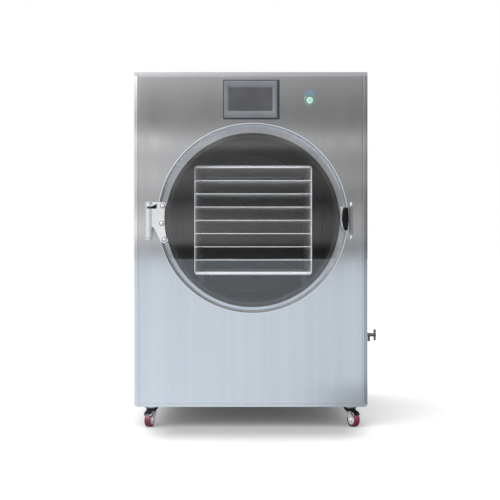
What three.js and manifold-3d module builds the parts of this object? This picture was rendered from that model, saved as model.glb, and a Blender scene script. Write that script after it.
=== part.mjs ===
// Floor-standing freeze dryer: stainless cabinet on casters, round clear door, shelf rack inside.
// Millimetres, +Z up, front towards -Y. The floor is Z = 0.
// The rack sets the chamber, the chamber sets the door, and the cabinet is built round them.
import * as THREE from "three";
import { mergeVertices } from "three/addons/utils/BufferGeometryUtils.js";
import Module from "manifold-3d";

const wasm = await Module();
wasm.setup();

function toTenth(length) {
  return Math.round(length * 10) / 10;
}

// Clearances
const SEAT_GAP = 0.3; // between two pieces that bear on each other
const RUN_GAP = 0.5; // beside a face that turns past another
const PIN_GAP = 0.1; // radial, pin in its bore
const WELD_GAP = 0.5; // between a welded piece and the facets of the round wall it follows
const LAP = 1; // two bodies of one piece reach this far into each other
const CUT = 5; // a cutting body reaches this far past the face it cuts

// Facets round a circle
const FACETS_LARGE = 72;
const FACETS_MEDIUM = 32;
const FACETS_HINGE = 24;
const FACETS_SMALL = 20;
const FACETS_TINY = 12;
const FACETS_PIN = 16;
const FACETS_PIPE = 8;

// Sheet metal and tube
const SHEET = 2;
const PAN_SHEET = 3;
const SIDE_RETURN = 18;
const TOP_FLANGE = 14;
const BASE_LIP = 11;
const SHELL_CORNER = 11;
const TUBE = 30;
const TOP_RAIL = 20;

// Casters
const WHEEL_R = 26;
const WHEEL_HALF = 11;
const TREAD_BEVEL = 3;
const TREAD_CHAMFER = 2;
const RIM_R = 18;
const RIM_DISH = 2.5;
const HUB_R = 9;
const HUB_PROUD = 0.6;
const CASTER_TRAIL = 22;
const AXLE_R = 4;
const AXLE_NUT_R = 6;
const AXLE_NUT = 3;
const KINGPIN_R = 5;
const KINGPIN_HEAD_R = 8;
const KINGPIN_HEAD = 3;
const CROWN_R = 22;
const CROWN_CLEARANCE = 7.5;
const CROWN_DEPTH = 7.2;
const CROWN_TO_PLATE = 5.5;
const RACE_INSET = 2;
const CASTER_PLATE = 60;
const CASTER_PLATE_THICK = 2.5;
const CHEEK = 2.5;
const CHEEK_GAP = 1.2;
const FORK_BACK = 15;
const FORK_FRONT = 24;
const FORK_ROOT = 4;
const FORK_FOOT = 8;
const CHEEK_STEP = 11;
const CHEEK_HALF = 9.5;
const CHEEK_FOOT_HALF = 6;
const CROWN_LOW_Z = 2 * WHEEL_R + CROWN_CLEARANCE;
const CROWN_HIGH_Z = CROWN_LOW_Z + CROWN_DEPTH;
const Z_BASE = CROWN_HIGH_Z + CROWN_TO_PLATE + CASTER_PLATE_THICK + SEAT_GAP;
const Z_FLOOR_INSIDE = Z_BASE + PAN_SHEET + SEAT_GAP;
const CASTERS = [
  ["front_left", -1, -1, 254],
  ["front_right", 1, -1, 300],
  ["rear_left", -1, 1, 70],
  ["rear_right", 1, 1, 110],
];

// Condenser, which sets how high the machine bay is
const CONDENSER_X = -190;
const CONDENSER_WIDTH = 280;
const CONDENSER_HEIGHT = 260;
const CONDENSER_DEPTH = 50;
const SHROUD_DEPTH = 72;
const SHROUD_RIM = 26;
const SHROUD_TO_REAR = 6;
const FAN_TIP_GAP = 8;
const FAN_HUB_R = 28;
const FAN_HUB = 26;
const FAN_BLADES = 5;
const BLADE_HALF = 30;
const BLADE_THICK = 2.4;
const BLADE_PITCH = 35;
const BLADE_ROOT = 6;
const BLADE_TIP_GAP = 2;
const MOTOR_R = 30;
const MOTOR_DEPTH = 26;
const MOTOR_SHAFT_R = 5;
const MOTOR_SHAFT = 30;
const FAN_R = CONDENSER_HEIGHT / 2 - SHROUD_RIM;
const FAN_Z = Z_FLOOR_INSIDE + CONDENSER_HEIGHT / 2;
const BAY_HEADROOM = 11.7;
const MID_RAIL_Z = Z_FLOOR_INSIDE + CONDENSER_HEIGHT + BAY_HEADROOM;
const MID_RAIL_TOP_Z = MID_RAIL_Z + TUBE;

// Shelf rack
const RACK_SHIFT = 2;
const RACK_WIDTH = 430;
const RACK_HEIGHT = 400;
const RACK_DEPTH = 470;
const RACK_SETBACK = 28;
const RACK_BEHIND = 62;
const RACK_CLEARANCE = 9.85;
const RACK_CORNER = 12;
const RACK_SIDE = 2.5;
const RACK_PLATE = 3;
const RACK_BAR = 12;
const SHELF_COUNT = 7;
const SHELF_PLATE = 3;
const SHELF_LIP = 6;
const SHELF_BEND = 1.5;
const SHELF_PITCH = (RACK_HEIGHT - RACK_BAR) / (SHELF_COUNT + 1);
const RAIL_INSET = 15;
const RAIL_WIDTH = 22;
const RAIL_OUT = RACK_WIDTH / 2 - RAIL_INSET;
const RAIL_IN = RAIL_OUT - RAIL_WIDTH;

// Vacuum chamber, its axis along Y
const CHAMBER_X = 6.5;
const RACK_REACH =
  Math.hypot(RACK_WIDTH / 2 + RACK_SHIFT - RACK_CORNER, RACK_HEIGHT / 2 - RACK_CORNER) +
  RACK_CORNER;
const CHAMBER_R = toTenth(RACK_REACH + RACK_CLEARANCE);
const CHAMBER_WALL = 4;
const CHAMBER_LENGTH = RACK_SETBACK + RACK_DEPTH + RACK_BEHIND;
const CHAMBER_BACK = 6;
const JACKET_WALL = 24.7;
const JACKET_R = CHAMBER_R + CHAMBER_WALL + SEAT_GAP + JACKET_WALL;
const CRADLE_DROP = 39.5;
const CHAMBER_Z = MID_RAIL_TOP_Z + CRADLE_DROP + JACKET_R;
const GASKET_WIDTH = 16;
const GASKET_DEPTH = 13.4;
const GASKET_GROOVE = 2.6;
const GASKET_RIDGE = 5.5;
const GASKET_EDGE = 2.5;
const GASKET_VALLEY = 2.75;
const GASKET_R = CHAMBER_R + GASKET_WIDTH;
const RACK_X = CHAMBER_X + RACK_SHIFT;

// Door, a thick clear disc
const DOOR_X = CHAMBER_X;
const DOOR_RISE = 5.9;
const DOOR_Z = CHAMBER_Z + DOOR_RISE;
const DOOR_LAP = 18;
const DOOR_R = GASKET_R + DOOR_LAP;
const DOOR_THICK = 30;
const DOOR_PROUD = 12;
const DOOR_BEVEL = 1.5;
const HOLE_CLEARANCE = 4;
const HOLE_R = DOOR_R + HOLE_CLEARANCE;
const BEAD_WIDTH = 6;
const BEAD_RISE = 3;
const BEAD_CROWN = 3;
const BEAD_SHOULDER = 0.6;
const FLANGE_LAP = 26;
const FLANGE_R = DOOR_R + FLANGE_LAP;
const FLANGE_DEPTH = 18;
const FLANGE_WEB = 8;

// Control panel, above the door
const HMI_X = 1.4;
const HMI_WIDTH = 204;
const HMI_HEIGHT = 143;
const HMI_ABOVE_DOOR = 11.6;
const HMI_BELOW_TOP = 28;
const HMI_BORDER = 5;
const HMI_CASE_DEPTH = 36;
const HMI_CASE_INSET = 6;
const HMI_FLANGE = 3;
const HMI_FRAME = 4;
const SCREEN_SHIFT_X = -2.8;
const SCREEN_SHIFT_Z = 0.5;
const SCREEN_BORDER_X = 23;
const SCREEN_BORDER_Z = 29.5;
const SCREEN_RECESS = 1;
const SCREEN_X = HMI_X + SCREEN_SHIFT_X;
const SCREEN_WIDTH = HMI_WIDTH - 2 * SCREEN_BORDER_X;
const SCREEN_HEIGHT = HMI_HEIGHT - 2 * SCREEN_BORDER_Z;
const HMI_Z = DOOR_Z + HOLE_R + BEAD_WIDTH + HMI_ABOVE_DOOR + HMI_HEIGHT / 2;
const SCREEN_Z = HMI_Z + SCREEN_SHIFT_Z;
const BUTTON_FROM_HMI = 108.6;
const BUTTON_DROP = 2.9;
const BUTTON_X = HMI_X + HMI_WIDTH / 2 + BUTTON_FROM_HMI;
const BUTTON_Z = HMI_Z - BUTTON_DROP;
const BUTTON_FLANGE_R = 11;
const BUTTON_BARREL_R = 9.2;
const BUTTON_BARREL = 30;
const BUTTON_CAP_R = 7;
const BUTTON_CAP_GAP = 0.25;
const BUTTON_FLANGE = 3;
const BUTTON_PROUD = 1.5;
const BUTTON_CAP = 6;
const BUTTON_TRAVEL = 1.5;

// Cabinet and frame, built round the chamber
const POST_CLEARANCE = 10.5;
const POST_SETBACK = 13;
const REAR_SPACE = 157;
const CHAMBER_STACK =
  DOOR_THICK -
  DOOR_PROUD +
  SEAT_GAP +
  GASKET_DEPTH +
  SEAT_GAP +
  CHAMBER_LENGTH +
  CHAMBER_BACK +
  SEAT_GAP +
  JACKET_WALL;
const CABINET_DEPTH = CHAMBER_STACK + REAR_SPACE;
const POST_X = CHAMBER_X + FLANGE_R + POST_CLEARANCE; // inner face of the posts
const POST_OUT = POST_X + TUBE;
const X_SIDE = POST_OUT + POST_SETBACK;
const Y_FRONT = -CABINET_DEPTH / 2;
const Y_REAR = CABINET_DEPTH / 2;
const Z_TOP = HMI_Z + HMI_HEIGHT / 2 + HMI_BELOW_TOP;
const X_PANEL = X_SIDE - SIDE_RETURN - SEAT_GAP;
const Z_PANEL_LOW = Z_BASE + BASE_LIP + SEAT_GAP;
const Z_PANEL_HIGH = Z_TOP - TOP_FLANGE - SEAT_GAP;
const Y_FRAME = Y_REAR - SHEET - SEAT_GAP;
const Z_FRAME_TOP = Z_TOP - SHEET - SEAT_GAP;
const Y_DOOR = Y_FRONT - DOOR_PROUD;
const Y_DOOR_BACK = Y_DOOR + DOOR_THICK;
const Y_GASKET_BACK = Y_DOOR_BACK + SEAT_GAP + GASKET_DEPTH;
const Y_CHAMBER = Y_GASKET_BACK + SEAT_GAP;
const Y_FLANGE = Y_CHAMBER - FLANGE_DEPTH + FLANGE_WEB;
const Y_CHAMBER_END = Y_CHAMBER + CHAMBER_LENGTH;
const Y_JACKET_END = Y_CHAMBER_END + CHAMBER_BACK + SEAT_GAP + JACKET_WALL;
const Y_RACK = Y_CHAMBER + RACK_SETBACK;
const BEAM_FROM_FRONT = 158;
const BEAM_FROM_BACK = 92;
const CROSS_BEAM_Y = [Y_CHAMBER + BEAM_FROM_FRONT, Y_CHAMBER_END - BEAM_FROM_BACK];
const SADDLE_ANGLE = 30.27;
const SADDLE_RISE = 5.9;

// Door hinge
const HINGE_PLATE = 5;
const HINGE_PIN_R = 4;
const HINGE_LEAF = 4;
const LEAF_OUT = 15;
const LEAF_IN = 24;
const LEAF_FROM_BEAD = 3.5;
const HINGE_X = DOOR_X - HOLE_R - BEAD_WIDTH - LEAF_FROM_BEAD - LEAF_IN;
const HINGE_LOW_Z = DOOR_Z - 78.4;
const HINGE_HIGH_Z = DOOR_Z + 57.6;
const HINGE_EAR = 6;
const KNUCKLE_TOP_Z = DOOR_Z + 32.6;
const PLATE_WAIST_Z = DOOR_Z - 32.4;
const PLATE_NECK = 14;
const Y_PLATE_BACK = Y_DOOR - SEAT_GAP;
const Y_HINGE = Y_PLATE_BACK - HINGE_PLATE / 2;
const KNUCKLE_R = toTenth(Y_FRONT - SEAT_GAP - HINGE_LEAF - RUN_GAP - Y_HINGE);
const LOBE_R = 14;
const LOBE_NECK = 16;
const LOBE_NOTCH_HIGH = 6;
const LOBE_NOTCH_LOW = 4;
const BOLT_R = 4;
const BOLT_HEAD_R = 6.5;
const BOLT_HEAD = 4;
const BOLT_CHAMFER = 1.5;
const BOLT_LENGTH = 28;
// How far each bolt stands in from the door's rim, and how far above its centre
const BOLTS = [
  [8.6, 43.3],
  [8, -19],
  [8.8, -76.1],
].map(([inset, up]) => [DOOR_X - Math.sqrt((DOOR_R - inset) ** 2 - up ** 2), DOOR_Z + up]);

// Latch
const LATCH_INSET = 3.5;
const LATCH_DROP = 3.9;
const LATCH_X = DOOR_X + DOOR_R - LATCH_INSET;
const LATCH_Z = DOOR_Z - LATCH_DROP;
const LATCH_PLATE = 5;
const TONGUE = 5;
const TONGUE_WIDTH = 14;
const TONGUE_LENGTH = 54;
const LATCH_NECK_R = 7;
const KEEPER_BAR = 5.5;
const KEEPER_WIDTH = 8;
const KEEPER_LEG = 5;
const KEEPER_DOWN = 56;
const KEEPER_UP = 48.3;
const KEEPER_FOOT = 14;
const KEEPER_FROM_BEAD = 8;
const KEEPER_LEG_REACH =
  Math.min(KEEPER_UP - LATCH_DROP, KEEPER_DOWN + LATCH_DROP) - KEEPER_LEG;
const KEEPER_X = toTenth(
  DOOR_X + Math.sqrt((HOLE_R + BEAD_WIDTH) ** 2 - KEEPER_LEG_REACH ** 2) + KEEPER_FROM_BEAD,
);
const PADDLE = 14;
const PADDLE_FACE = 4;
const Y_TONGUE_BACK = Y_PLATE_BACK - LATCH_PLATE - RUN_GAP;
const Y_KEEPER_BACK = Y_TONGUE_BACK - TONGUE - RUN_GAP;
const Y_PADDLE_BACK = Y_KEEPER_BACK - KEEPER_BAR - RUN_GAP;

// Machine bay
const CONDENSER_Y = Y_REAR - SHROUD_TO_REAR - SHROUD_DEPTH - CONDENSER_DEPTH;
const Y_SHROUD = CONDENSER_Y + CONDENSER_DEPTH;
const COMPRESSOR_X = 180;
const COMPRESSOR_FROM_CONDENSER = 112;
const COMPRESSOR_Y = CONDENSER_Y - COMPRESSOR_FROM_CONDENSER;
const COMPRESSOR_R = 80;
const COMPRESSOR_HEIGHT = 208;
const COMPRESSOR_FOOT = 8;
const COMPRESSOR_FOOT_R = 12;
const COMPRESSOR_TRAY = 4;
const COMPRESSOR_TRAY_LAP = 16;
const COMPRESSOR_BELLY = 34;
const COMPRESSOR_SHOULDER = 48;
const TRAY_INSET = 6;
const FOOT_INSET = 20;
const SHELL_TAPER_LOW = 16;
const SHELL_TAPER_MID = 12;
const SHELL_TAPER_HIGH = 38;
const DOME_RISE = 4;
const STUB_R = 9;
const STUB_REACH = 14;
const STUB_OFFSET = 40;
const DISCHARGE_RISE = 140;
const PIPE_R = 6;
const SUCTION_DROP = 108.5;
const SUCTION_BEHIND = 60;
const SUCTION_RISE = 50;
const SUCTION_CLIMB = 60;
const SUCTION_BEND = 22;
const DISCHARGE_BEND = 40;
const DISCHARGE_FROM_CONDENSER = 80;
const CONTROL_BOX_WIDTH = 240;
const CONTROL_BOX_DEPTH = 140;
const CONTROL_BOX_HEIGHT = 180;
const CONTROL_BOX_FROM_SIDE = 70;
const CONTROL_BOX_FROM_FRONT = 60;

// Rear and side services
const PORT_R = 14;
const PORT_REACH = 43;
const PORT_WASHER_R = 24;
const PORT_WASHER = 4;
const PORT_FLANGE_R = 20;
const PORT_FLANGE = 12;
const PORT_TAPER = 6;
const INLET_X = 250;
const INLET_Z = Z_FLOOR_INSIDE + 81.7;
const INLET_HALF_WIDTH = 13.7;
const INLET_HALF_HEIGHT = 9.9;
const INLET_WALL = 1.5;
const INLET_DEPTH = 24;
const INLET_FLANGE = 3;
const INLET_FLANGE_HALF = 25;
const INLET_FLANGE_RISE = 12;
const INLET_RECESS = 20;
const PIN_HALF_WIDTH = 1;
const PIN_HALF_HEIGHT = 2.5;
const PIN_LENGTH = 11;
const INLET_PINS = [
  [-7, -2],
  [7, -2],
  [0, 3],
];
const VALVE_NECK_R = 8;
const VALVE_BODY = 24;
const VALVE_INSIDE = 18;
const VALVE_NUT_R = 11;
const VALVE_WASHER_R = 13;
const VALVE_WASHER = 2.5;
const VALVE_HANDLE = 21;
const VALVE_REACH = VALVE_BODY + VALVE_HANDLE;
const VALVE_HANDLE_HALF = 21.5;
const VALVE_HANDLE_WIDE = 6;
const VALVE_STEM_R = 6.5;
const HANDLE_THICK = 8;
const HANDLE_STEM_PROUD = 1;
const HANDLE_TIP = 2;
const HANDLE_WAIST = 1.5;
const HANDLE_EAR = 3;
const HANDLE_HUB = 8;
const SPOUT_R = 4.5;
const SPOUT_OUT = VALVE_BODY - SPOUT_R - LAP;
const SPOUT_DROP = 24;
const DRAIN_FROM_CHAMBER = 68;
const DRAIN_UNDER_RAIL = 25;
const DRAIN_PIPE_R = 7;
const DRAIN_BEND = 30;
const DRAIN_Y = Y_CHAMBER + DRAIN_FROM_CHAMBER;
const DRAIN_Z = MID_RAIL_Z - DRAIN_UNDER_RAIL;

// Vents
const SIDE_VENT_HALF = 80;
const SIDE_VENT_LOW = 49;
const SIDE_VENT_PITCH = 24;
const SIDE_VENT_SLOT = 9;
const SIDE_VENT_HEADROOM = 49;
const FAN_SLOT_PITCH = 19;
const FAN_SLOT = 8;
const REAR_VENT_X = 220;
const REAR_VENT_HALF = 80;
const REAR_VENT_COUNT = 6;
const REAR_VENT_PITCH = 20;
const REAR_VENT_SLOT = 7;
const REAR_VENT_DROP = 91;

// Places against the cabinet's edges
const CASTER_FROM_SIDE = 59;
const CASTER_FROM_END = 45;
const CASTER_X = X_SIDE - CASTER_FROM_SIDE;
const CASTER_Y = Y_REAR - CASTER_FROM_END;

const STEEL = material(0xb9bdc0, 0.9, 0.35);
const BRIGHT_STEEL = material(0xd6d8da, 0.95, 0.2);
const DARK_STEEL = material(0x6a6d70, 0.8, 0.5);
const PAINTED = material(0x2b2d30, 0.2, 0.6);
const RUBBER = material(0x161718, 0.0, 0.8);
const FOAM = material(0x1c1c1e, 0.0, 0.95);
const ACRYLIC = material(0xdfe8ea, 0.0, 0.05, 0.3);
const BLACK = material(0x101214, 0.0, 0.35);
const BEZEL = material(0x7f858d, 0.1, 0.45);
const SCREEN = material(0x3e4042, 0.0, 0.2);
const GLOW = material(0xc8ffe6, 0.0, 0.4);
const RED = material(0x9c2f3c, 0.0, 0.5);
const COPPER = material(0xb4673a, 0.9, 0.35);

function material(color, metalness, roughness, opacity = 1) {
  return new THREE.MeshStandardMaterial({
    color,
    metalness,
    roughness,
    opacity,
    transparent: opacity < 1,
    flatShading: true,
  });
}

// ---- Solids ----

// A closed geometry as a manifold solid, with collapsed faces dropped.
function solid(geometry) {
  const bare = geometry.index ? geometry.toNonIndexed() : geometry.clone();
  bare.deleteAttribute("normal");
  bare.deleteAttribute("uv");
  const merged = mergeVertices(bare, 1e-4);
  const index = merged.index.array;
  const kept = [];
  for (let i = 0; i < index.length; i += 3) {
    const [a, b, c] = [index[i], index[i + 1], index[i + 2]];
    if (a !== b && b !== c && c !== a) kept.push(a, b, c);
  }
  return new wasm.Manifold(
    new wasm.Mesh({
      numProp: 3,
      vertProperties: merged.attributes.position.array,
      triVerts: new Uint32Array(kept),
    }),
  );
}

function box(x0, x1, y0, y1, z0, z1) {
  const g = new THREE.BoxGeometry(x1 - x0, y1 - y0, z1 - z0);
  g.translate((x0 + x1) / 2, (y0 + y1) / 2, (z0 + z1) / 2);
  return solid(g);
}

// A lathe whose profile is [radius, height] pairs, turned round the Y axis.
function latheY(profile, facets) {
  const closed = profile[0][0] > 0 || profile[profile.length - 1][0] > 0;
  const ring = closed ? [...profile, profile[0]] : profile;
  const points = ring.map(([r, h]) => new THREE.Vector2(r, h));
  const made = solid(new THREE.LatheGeometry(points, facets));
  if (made.volume() > 0) return made;
  return solid(new THREE.LatheGeometry(points.reverse(), facets));
}

function latheAlongY(profile, facets, x, z) {
  return latheY(profile, facets).translate([x, 0, z]);
}

function latheAlongZ(profile, facets, x, y) {
  return latheY(profile, facets).rotate([90, 0, 0]).translate([x, y, 0]);
}

function latheAlongX(profile, facets, y, z) {
  return latheY(profile, facets).rotate([0, 0, -90]).translate([0, y, z]);
}

function rodProfile(r, h0, h1) {
  return [
    [0, h0],
    [r, h0],
    [r, h1],
    [0, h1],
  ];
}

function rodAlongY(x, z, r, y0, y1, facets = FACETS_SMALL) {
  return latheAlongY(rodProfile(r, y0, y1), facets, x, z);
}

function rodAlongZ(x, y, r, z0, z1, facets = FACETS_SMALL) {
  return latheAlongZ(rodProfile(r, z0, z1), facets, x, y);
}

function rodAlongX(y, z, r, x0, x1, facets = FACETS_SMALL) {
  return latheAlongX(rodProfile(r, x0, x1), facets, y, z);
}

function outline(points) {
  return new THREE.Shape(points.map(([u, v]) => new THREE.Vector2(u, v)));
}

function circlePoints(x, z, r, facets) {
  return Array.from({ length: facets }, (_, i) => {
    const a = (2 * Math.PI * i) / facets;
    return new THREE.Vector2(x + r * Math.cos(a), z + r * Math.sin(a));
  });
}

// An (x, z) outline carried from y0 to y1.
function slabXZ(shape, y0, y1) {
  const g = new THREE.ExtrudeGeometry(shape, {
    depth: y1 - y0,
    bevelEnabled: false,
  });
  g.rotateX(Math.PI / 2);
  g.translate(0, y1, 0);
  return solid(g);
}

function union(...solids) {
  return solids.reduce((sum, s) => sum.add(s));
}

// A pipe of round section along points, with rounded bends.
function pipe(points, r, bend, steps) {
  const path = new THREE.CurvePath();
  const at = points.map((p) => new THREE.Vector3(...p));
  let from = at[0];
  for (let i = 1; i < at.length - 1; i++) {
    const before = at[i].clone().lerp(at[i - 1], bend / at[i].distanceTo(at[i - 1]));
    const after = at[i].clone().lerp(at[i + 1], bend / at[i].distanceTo(at[i + 1]));
    path.add(new THREE.LineCurve3(from, before));
    path.add(new THREE.QuadraticBezierCurve3(before, at[i], after));
    from = after;
  }
  path.add(new THREE.LineCurve3(from, at[at.length - 1]));
  const section = new THREE.Shape(circlePoints(0, 0, r, FACETS_PIPE));
  return solid(
    new THREE.ExtrudeGeometry(section, { steps, extrudePath: path }),
  );
}

// Arc points about (cx, cz) from angle a0 to a1, in degrees.
function arc(cx, cz, r, a0, a1, count) {
  return Array.from({ length: count + 1 }, (_, i) => {
    const a = THREE.MathUtils.degToRad(a0 + ((a1 - a0) * i) / count);
    return [cx + r * Math.cos(a), cz + r * Math.sin(a)];
  });
}

const machine = new THREE.Group();

function add(name, made, look) {
  const m = made.getMesh();
  const positions = new Float32Array(m.numVert * 3);
  for (let i = 0; i < m.numVert; i++) {
    const at = i * m.numProp;
    positions.set(m.vertProperties.subarray(at, at + 3), i * 3);
  }
  const g = new THREE.BufferGeometry();
  g.setAttribute("position", new THREE.BufferAttribute(positions, 3));
  g.setIndex(new THREE.BufferAttribute(new Uint32Array(m.triVerts), 1));
  g.computeVertexNormals();
  const mesh = new THREE.Mesh(g, look);
  mesh.name = name;
  machine.add(mesh);
}

// ---- Cabinet ----

function basePan() {
  return union(
    box(-X_PANEL, X_PANEL, Y_FRONT, Y_REAR, Z_BASE, Z_BASE + PAN_SHEET),
    box(-X_PANEL, X_PANEL, Y_FRONT, Y_FRONT + SHEET, Z_BASE, Z_BASE + BASE_LIP),
    box(-X_PANEL, X_PANEL, Y_REAR - SHEET, Y_REAR, Z_BASE, Z_BASE + BASE_LIP),
  );
}

// The right side: a wall with a rounded foot, folded in along the front and the rear.
function sideShell() {
  const cx = X_SIDE - SHELL_CORNER;
  const cz = Z_BASE + SHELL_CORNER;
  const outer = arc(cx, cz, SHELL_CORNER, 0, -90, 6);
  const inner = arc(cx, cz, SHELL_CORNER - SHEET, -90, 0, 6);
  const fold = X_SIDE - SIDE_RETURN;
  const wall = outline([
    [X_SIDE, Z_PANEL_HIGH],
    ...outer,
    [fold, Z_BASE],
    [fold, Z_BASE + SHEET],
    ...inner,
    [X_SIDE - SHEET, Z_PANEL_HIGH],
  ]);
  const strip = outline([
    [X_SIDE, Z_PANEL_HIGH],
    ...outer,
    [fold, Z_BASE],
    [fold, Z_PANEL_HIGH],
  ]);
  return union(
    slabXZ(wall, Y_FRONT, Y_REAR),
    slabXZ(strip, Y_FRONT, Y_FRONT + SHEET),
    slabXZ(strip, Y_REAR - SHEET, Y_REAR),
  );
}

// Slots beside the compressor, up to the rail over the machine bay.
function sideVents(x0, x1) {
  const slots = [];
  const last = MID_RAIL_Z - SIDE_VENT_HEADROOM - SIDE_VENT_SLOT;
  const [y0, y1] = [COMPRESSOR_Y - SIDE_VENT_HALF, COMPRESSOR_Y + SIDE_VENT_HALF];
  for (let z = Z_BASE + SIDE_VENT_LOW; z < last + LAP; z += SIDE_VENT_PITCH) {
    slots.push(box(x0, x1, y0, y1, z, z + SIDE_VENT_SLOT));
  }
  return union(...slots);
}

function sideShellRight() {
  const [x0, x1] = [X_SIDE - SHEET - CUT, X_SIDE + CUT];
  const hole = rodAlongX(DRAIN_Y, DRAIN_Z, VALVE_NECK_R + RUN_GAP, x0, x1);
  return sideShell()
    .subtract(sideVents(x0, x1))
    .subtract(hole);
}

function sideShellLeft() {
  return sideShell()
    .mirror([1, 0, 0])
    .subtract(sideVents(-X_SIDE - CUT, SHEET + CUT - X_SIDE));
}

function topCover() {
  const inX = X_SIDE - SHEET;
  const inY = Y_REAR - SHEET;
  return box(-X_SIDE, X_SIDE, Y_FRONT, Y_REAR, Z_TOP - TOP_FLANGE, Z_TOP).subtract(
    box(-inX, inX, -inY, inY, Z_TOP - TOP_FLANGE - CUT, Z_TOP - SHEET),
  );
}

// A rolled bead round the door hole, turned in behind it as a lip.
function doorBead() {
  const out = HOLE_R + BEAD_WIDTH;
  const mid = Y_FRONT + SHEET * 0.8;
  const shoulder = Y_FRONT - BEAD_RISE + BEAD_SHOULDER;
  return latheAlongY(
    [
      [out, mid],
      [out, Y_FRONT],
      [out - SHEET, shoulder],
      [HOLE_R + BEAD_CROWN, Y_FRONT - BEAD_RISE],
      [HOLE_R + SHEET, shoulder],
      [HOLE_R, Y_FRONT - BEAD_SHOULDER],
      [HOLE_R, Y_FLANGE - SHEET],
      [HOLE_R + SHEET, Y_FLANGE - SHEET],
      [HOLE_R + SHEET, mid],
    ],
    FACETS_LARGE,
    DOOR_X,
    DOOR_Z,
  );
}

function frontPanel() {
  const sheet = outline([
    [-X_PANEL, Z_PANEL_LOW],
    [X_PANEL, Z_PANEL_LOW],
    [X_PANEL, Z_PANEL_HIGH],
    [-X_PANEL, Z_PANEL_HIGH],
  ]);
  const halfW = HMI_WIDTH / 2 - HMI_CASE_INSET + RUN_GAP;
  const halfH = HMI_HEIGHT / 2 - HMI_CASE_INSET + RUN_GAP;
  const hmi = [
    [HMI_X - halfW, HMI_Z - halfH],
    [HMI_X + halfW, HMI_Z - halfH],
    [HMI_X + halfW, HMI_Z + halfH],
    [HMI_X - halfW, HMI_Z + halfH],
  ].map(([x, z]) => new THREE.Vector2(x, z));
  sheet.holes.push(
    new THREE.Path(circlePoints(DOOR_X, DOOR_Z, HOLE_R + BEAD_WIDTH - SHEET, FACETS_LARGE)),
  );
  sheet.holes.push(new THREE.Path(hmi));
  sheet.holes.push(
    new THREE.Path(
      circlePoints(BUTTON_X, BUTTON_Z, BUTTON_BARREL_R + RUN_GAP, FACETS_SMALL),
    ),
  );
  return slabXZ(sheet, Y_FRONT, Y_FRONT + SHEET).add(doorBead());
}

function rearPanel() {
  const made = box(-X_PANEL, X_PANEL, Y_REAR - SHEET, Y_REAR, Z_PANEL_LOW, Z_PANEL_HIGH);
  const [y0, y1] = [Y_REAR - SHEET - CUT, Y_REAR + CUT];
  const inletW = INLET_HALF_WIDTH + RUN_GAP;
  const inletH = INLET_HALF_HEIGHT + RUN_GAP;
  const cuts = [
    rodAlongY(CHAMBER_X, CHAMBER_Z, PORT_R + RUN_GAP, y0, y1),
    box(INLET_X - inletW, INLET_X + inletW, y0, y1, INLET_Z - inletH, INLET_Z + inletH),
  ];
  const slots = Math.floor((FAN_R - FAN_SLOT) / FAN_SLOT_PITCH);
  for (let i = -slots; i <= slots; i++) {
    const z = FAN_Z + i * FAN_SLOT_PITCH;
    const half = Math.sqrt(FAN_R ** 2 - (i * FAN_SLOT_PITCH) ** 2);
    const [x0, x1] = [CONDENSER_X - half, CONDENSER_X + half];
    cuts.push(box(x0, x1, y0, y1, z - FAN_SLOT / 2, z + FAN_SLOT / 2));
  }
  for (let i = 0; i < REAR_VENT_COUNT; i++) {
    const z = Z_TOP - REAR_VENT_DROP - i * REAR_VENT_PITCH;
    const [x0, x1] = [REAR_VENT_X - REAR_VENT_HALF, REAR_VENT_X + REAR_VENT_HALF];
    cuts.push(box(x0, x1, y0, y1, z, z + REAR_VENT_SLOT));
  }
  return made.subtract(union(...cuts));
}

// ---- Frame ----

// Two posts with a rail at mid height and one at the top, for the front or the rear.
function postFrame(y0, y1) {
  const rail = POST_X + LAP;
  return union(
    box(-POST_OUT, -POST_X, y0, y1, Z_FLOOR_INSIDE, Z_FRAME_TOP),
    box(POST_X, POST_OUT, y0, y1, Z_FLOOR_INSIDE, Z_FRAME_TOP),
    box(-rail, rail, y0, y1, MID_RAIL_Z, MID_RAIL_TOP_Z),
    box(-rail, rail, y0, y1, Z_FRAME_TOP - TOP_RAIL, Z_FRAME_TOP),
  );
}

// Side rails and two cross beams with saddles that carry the chamber.
function cradle() {
  const y = Y_FRAME - TUBE - SEAT_GAP;
  const top = MID_RAIL_TOP_Z;
  const seat = JACKET_R + SEAT_GAP;
  const angle = THREE.MathUtils.degToRad(SADDLE_ANGLE);
  const [x0, x1] = [CHAMBER_X - seat * Math.sin(angle), CHAMBER_X + seat * Math.sin(angle)];
  const saddleTop = CHAMBER_Z - seat * Math.cos(angle) + SADDLE_RISE;
  const round = rodAlongY(CHAMBER_X, CHAMBER_Z, seat, -y, y, FACETS_LARGE);
  let made = union(
    box(-POST_OUT, -POST_X, -y, y, MID_RAIL_Z, top),
    box(POST_X, POST_OUT, -y, y, MID_RAIL_Z, top),
  );
  for (const at of CROSS_BEAM_Y) {
    const [y0, y1] = [at - TUBE / 2, at + TUBE / 2];
    made = made.add(box(-POST_X - LAP, POST_X + LAP, y0, y1, MID_RAIL_Z, top));
    made = made.add(box(x0, x1, y0, y1, top - LAP, saddleTop).subtract(round));
  }
  return made;
}

// ---- Chamber ----

function chamberShell() {
  const out = CHAMBER_R + CHAMBER_WALL;
  return latheAlongY(
    [
      [0, Y_CHAMBER_END],
      [CHAMBER_R, Y_CHAMBER_END],
      [CHAMBER_R, Y_CHAMBER],
      [out, Y_CHAMBER],
      [out, Y_CHAMBER_END + CHAMBER_BACK],
      [0, Y_CHAMBER_END + CHAMBER_BACK],
    ],
    FACETS_LARGE,
    CHAMBER_X,
    CHAMBER_Z,
  );
}

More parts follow.
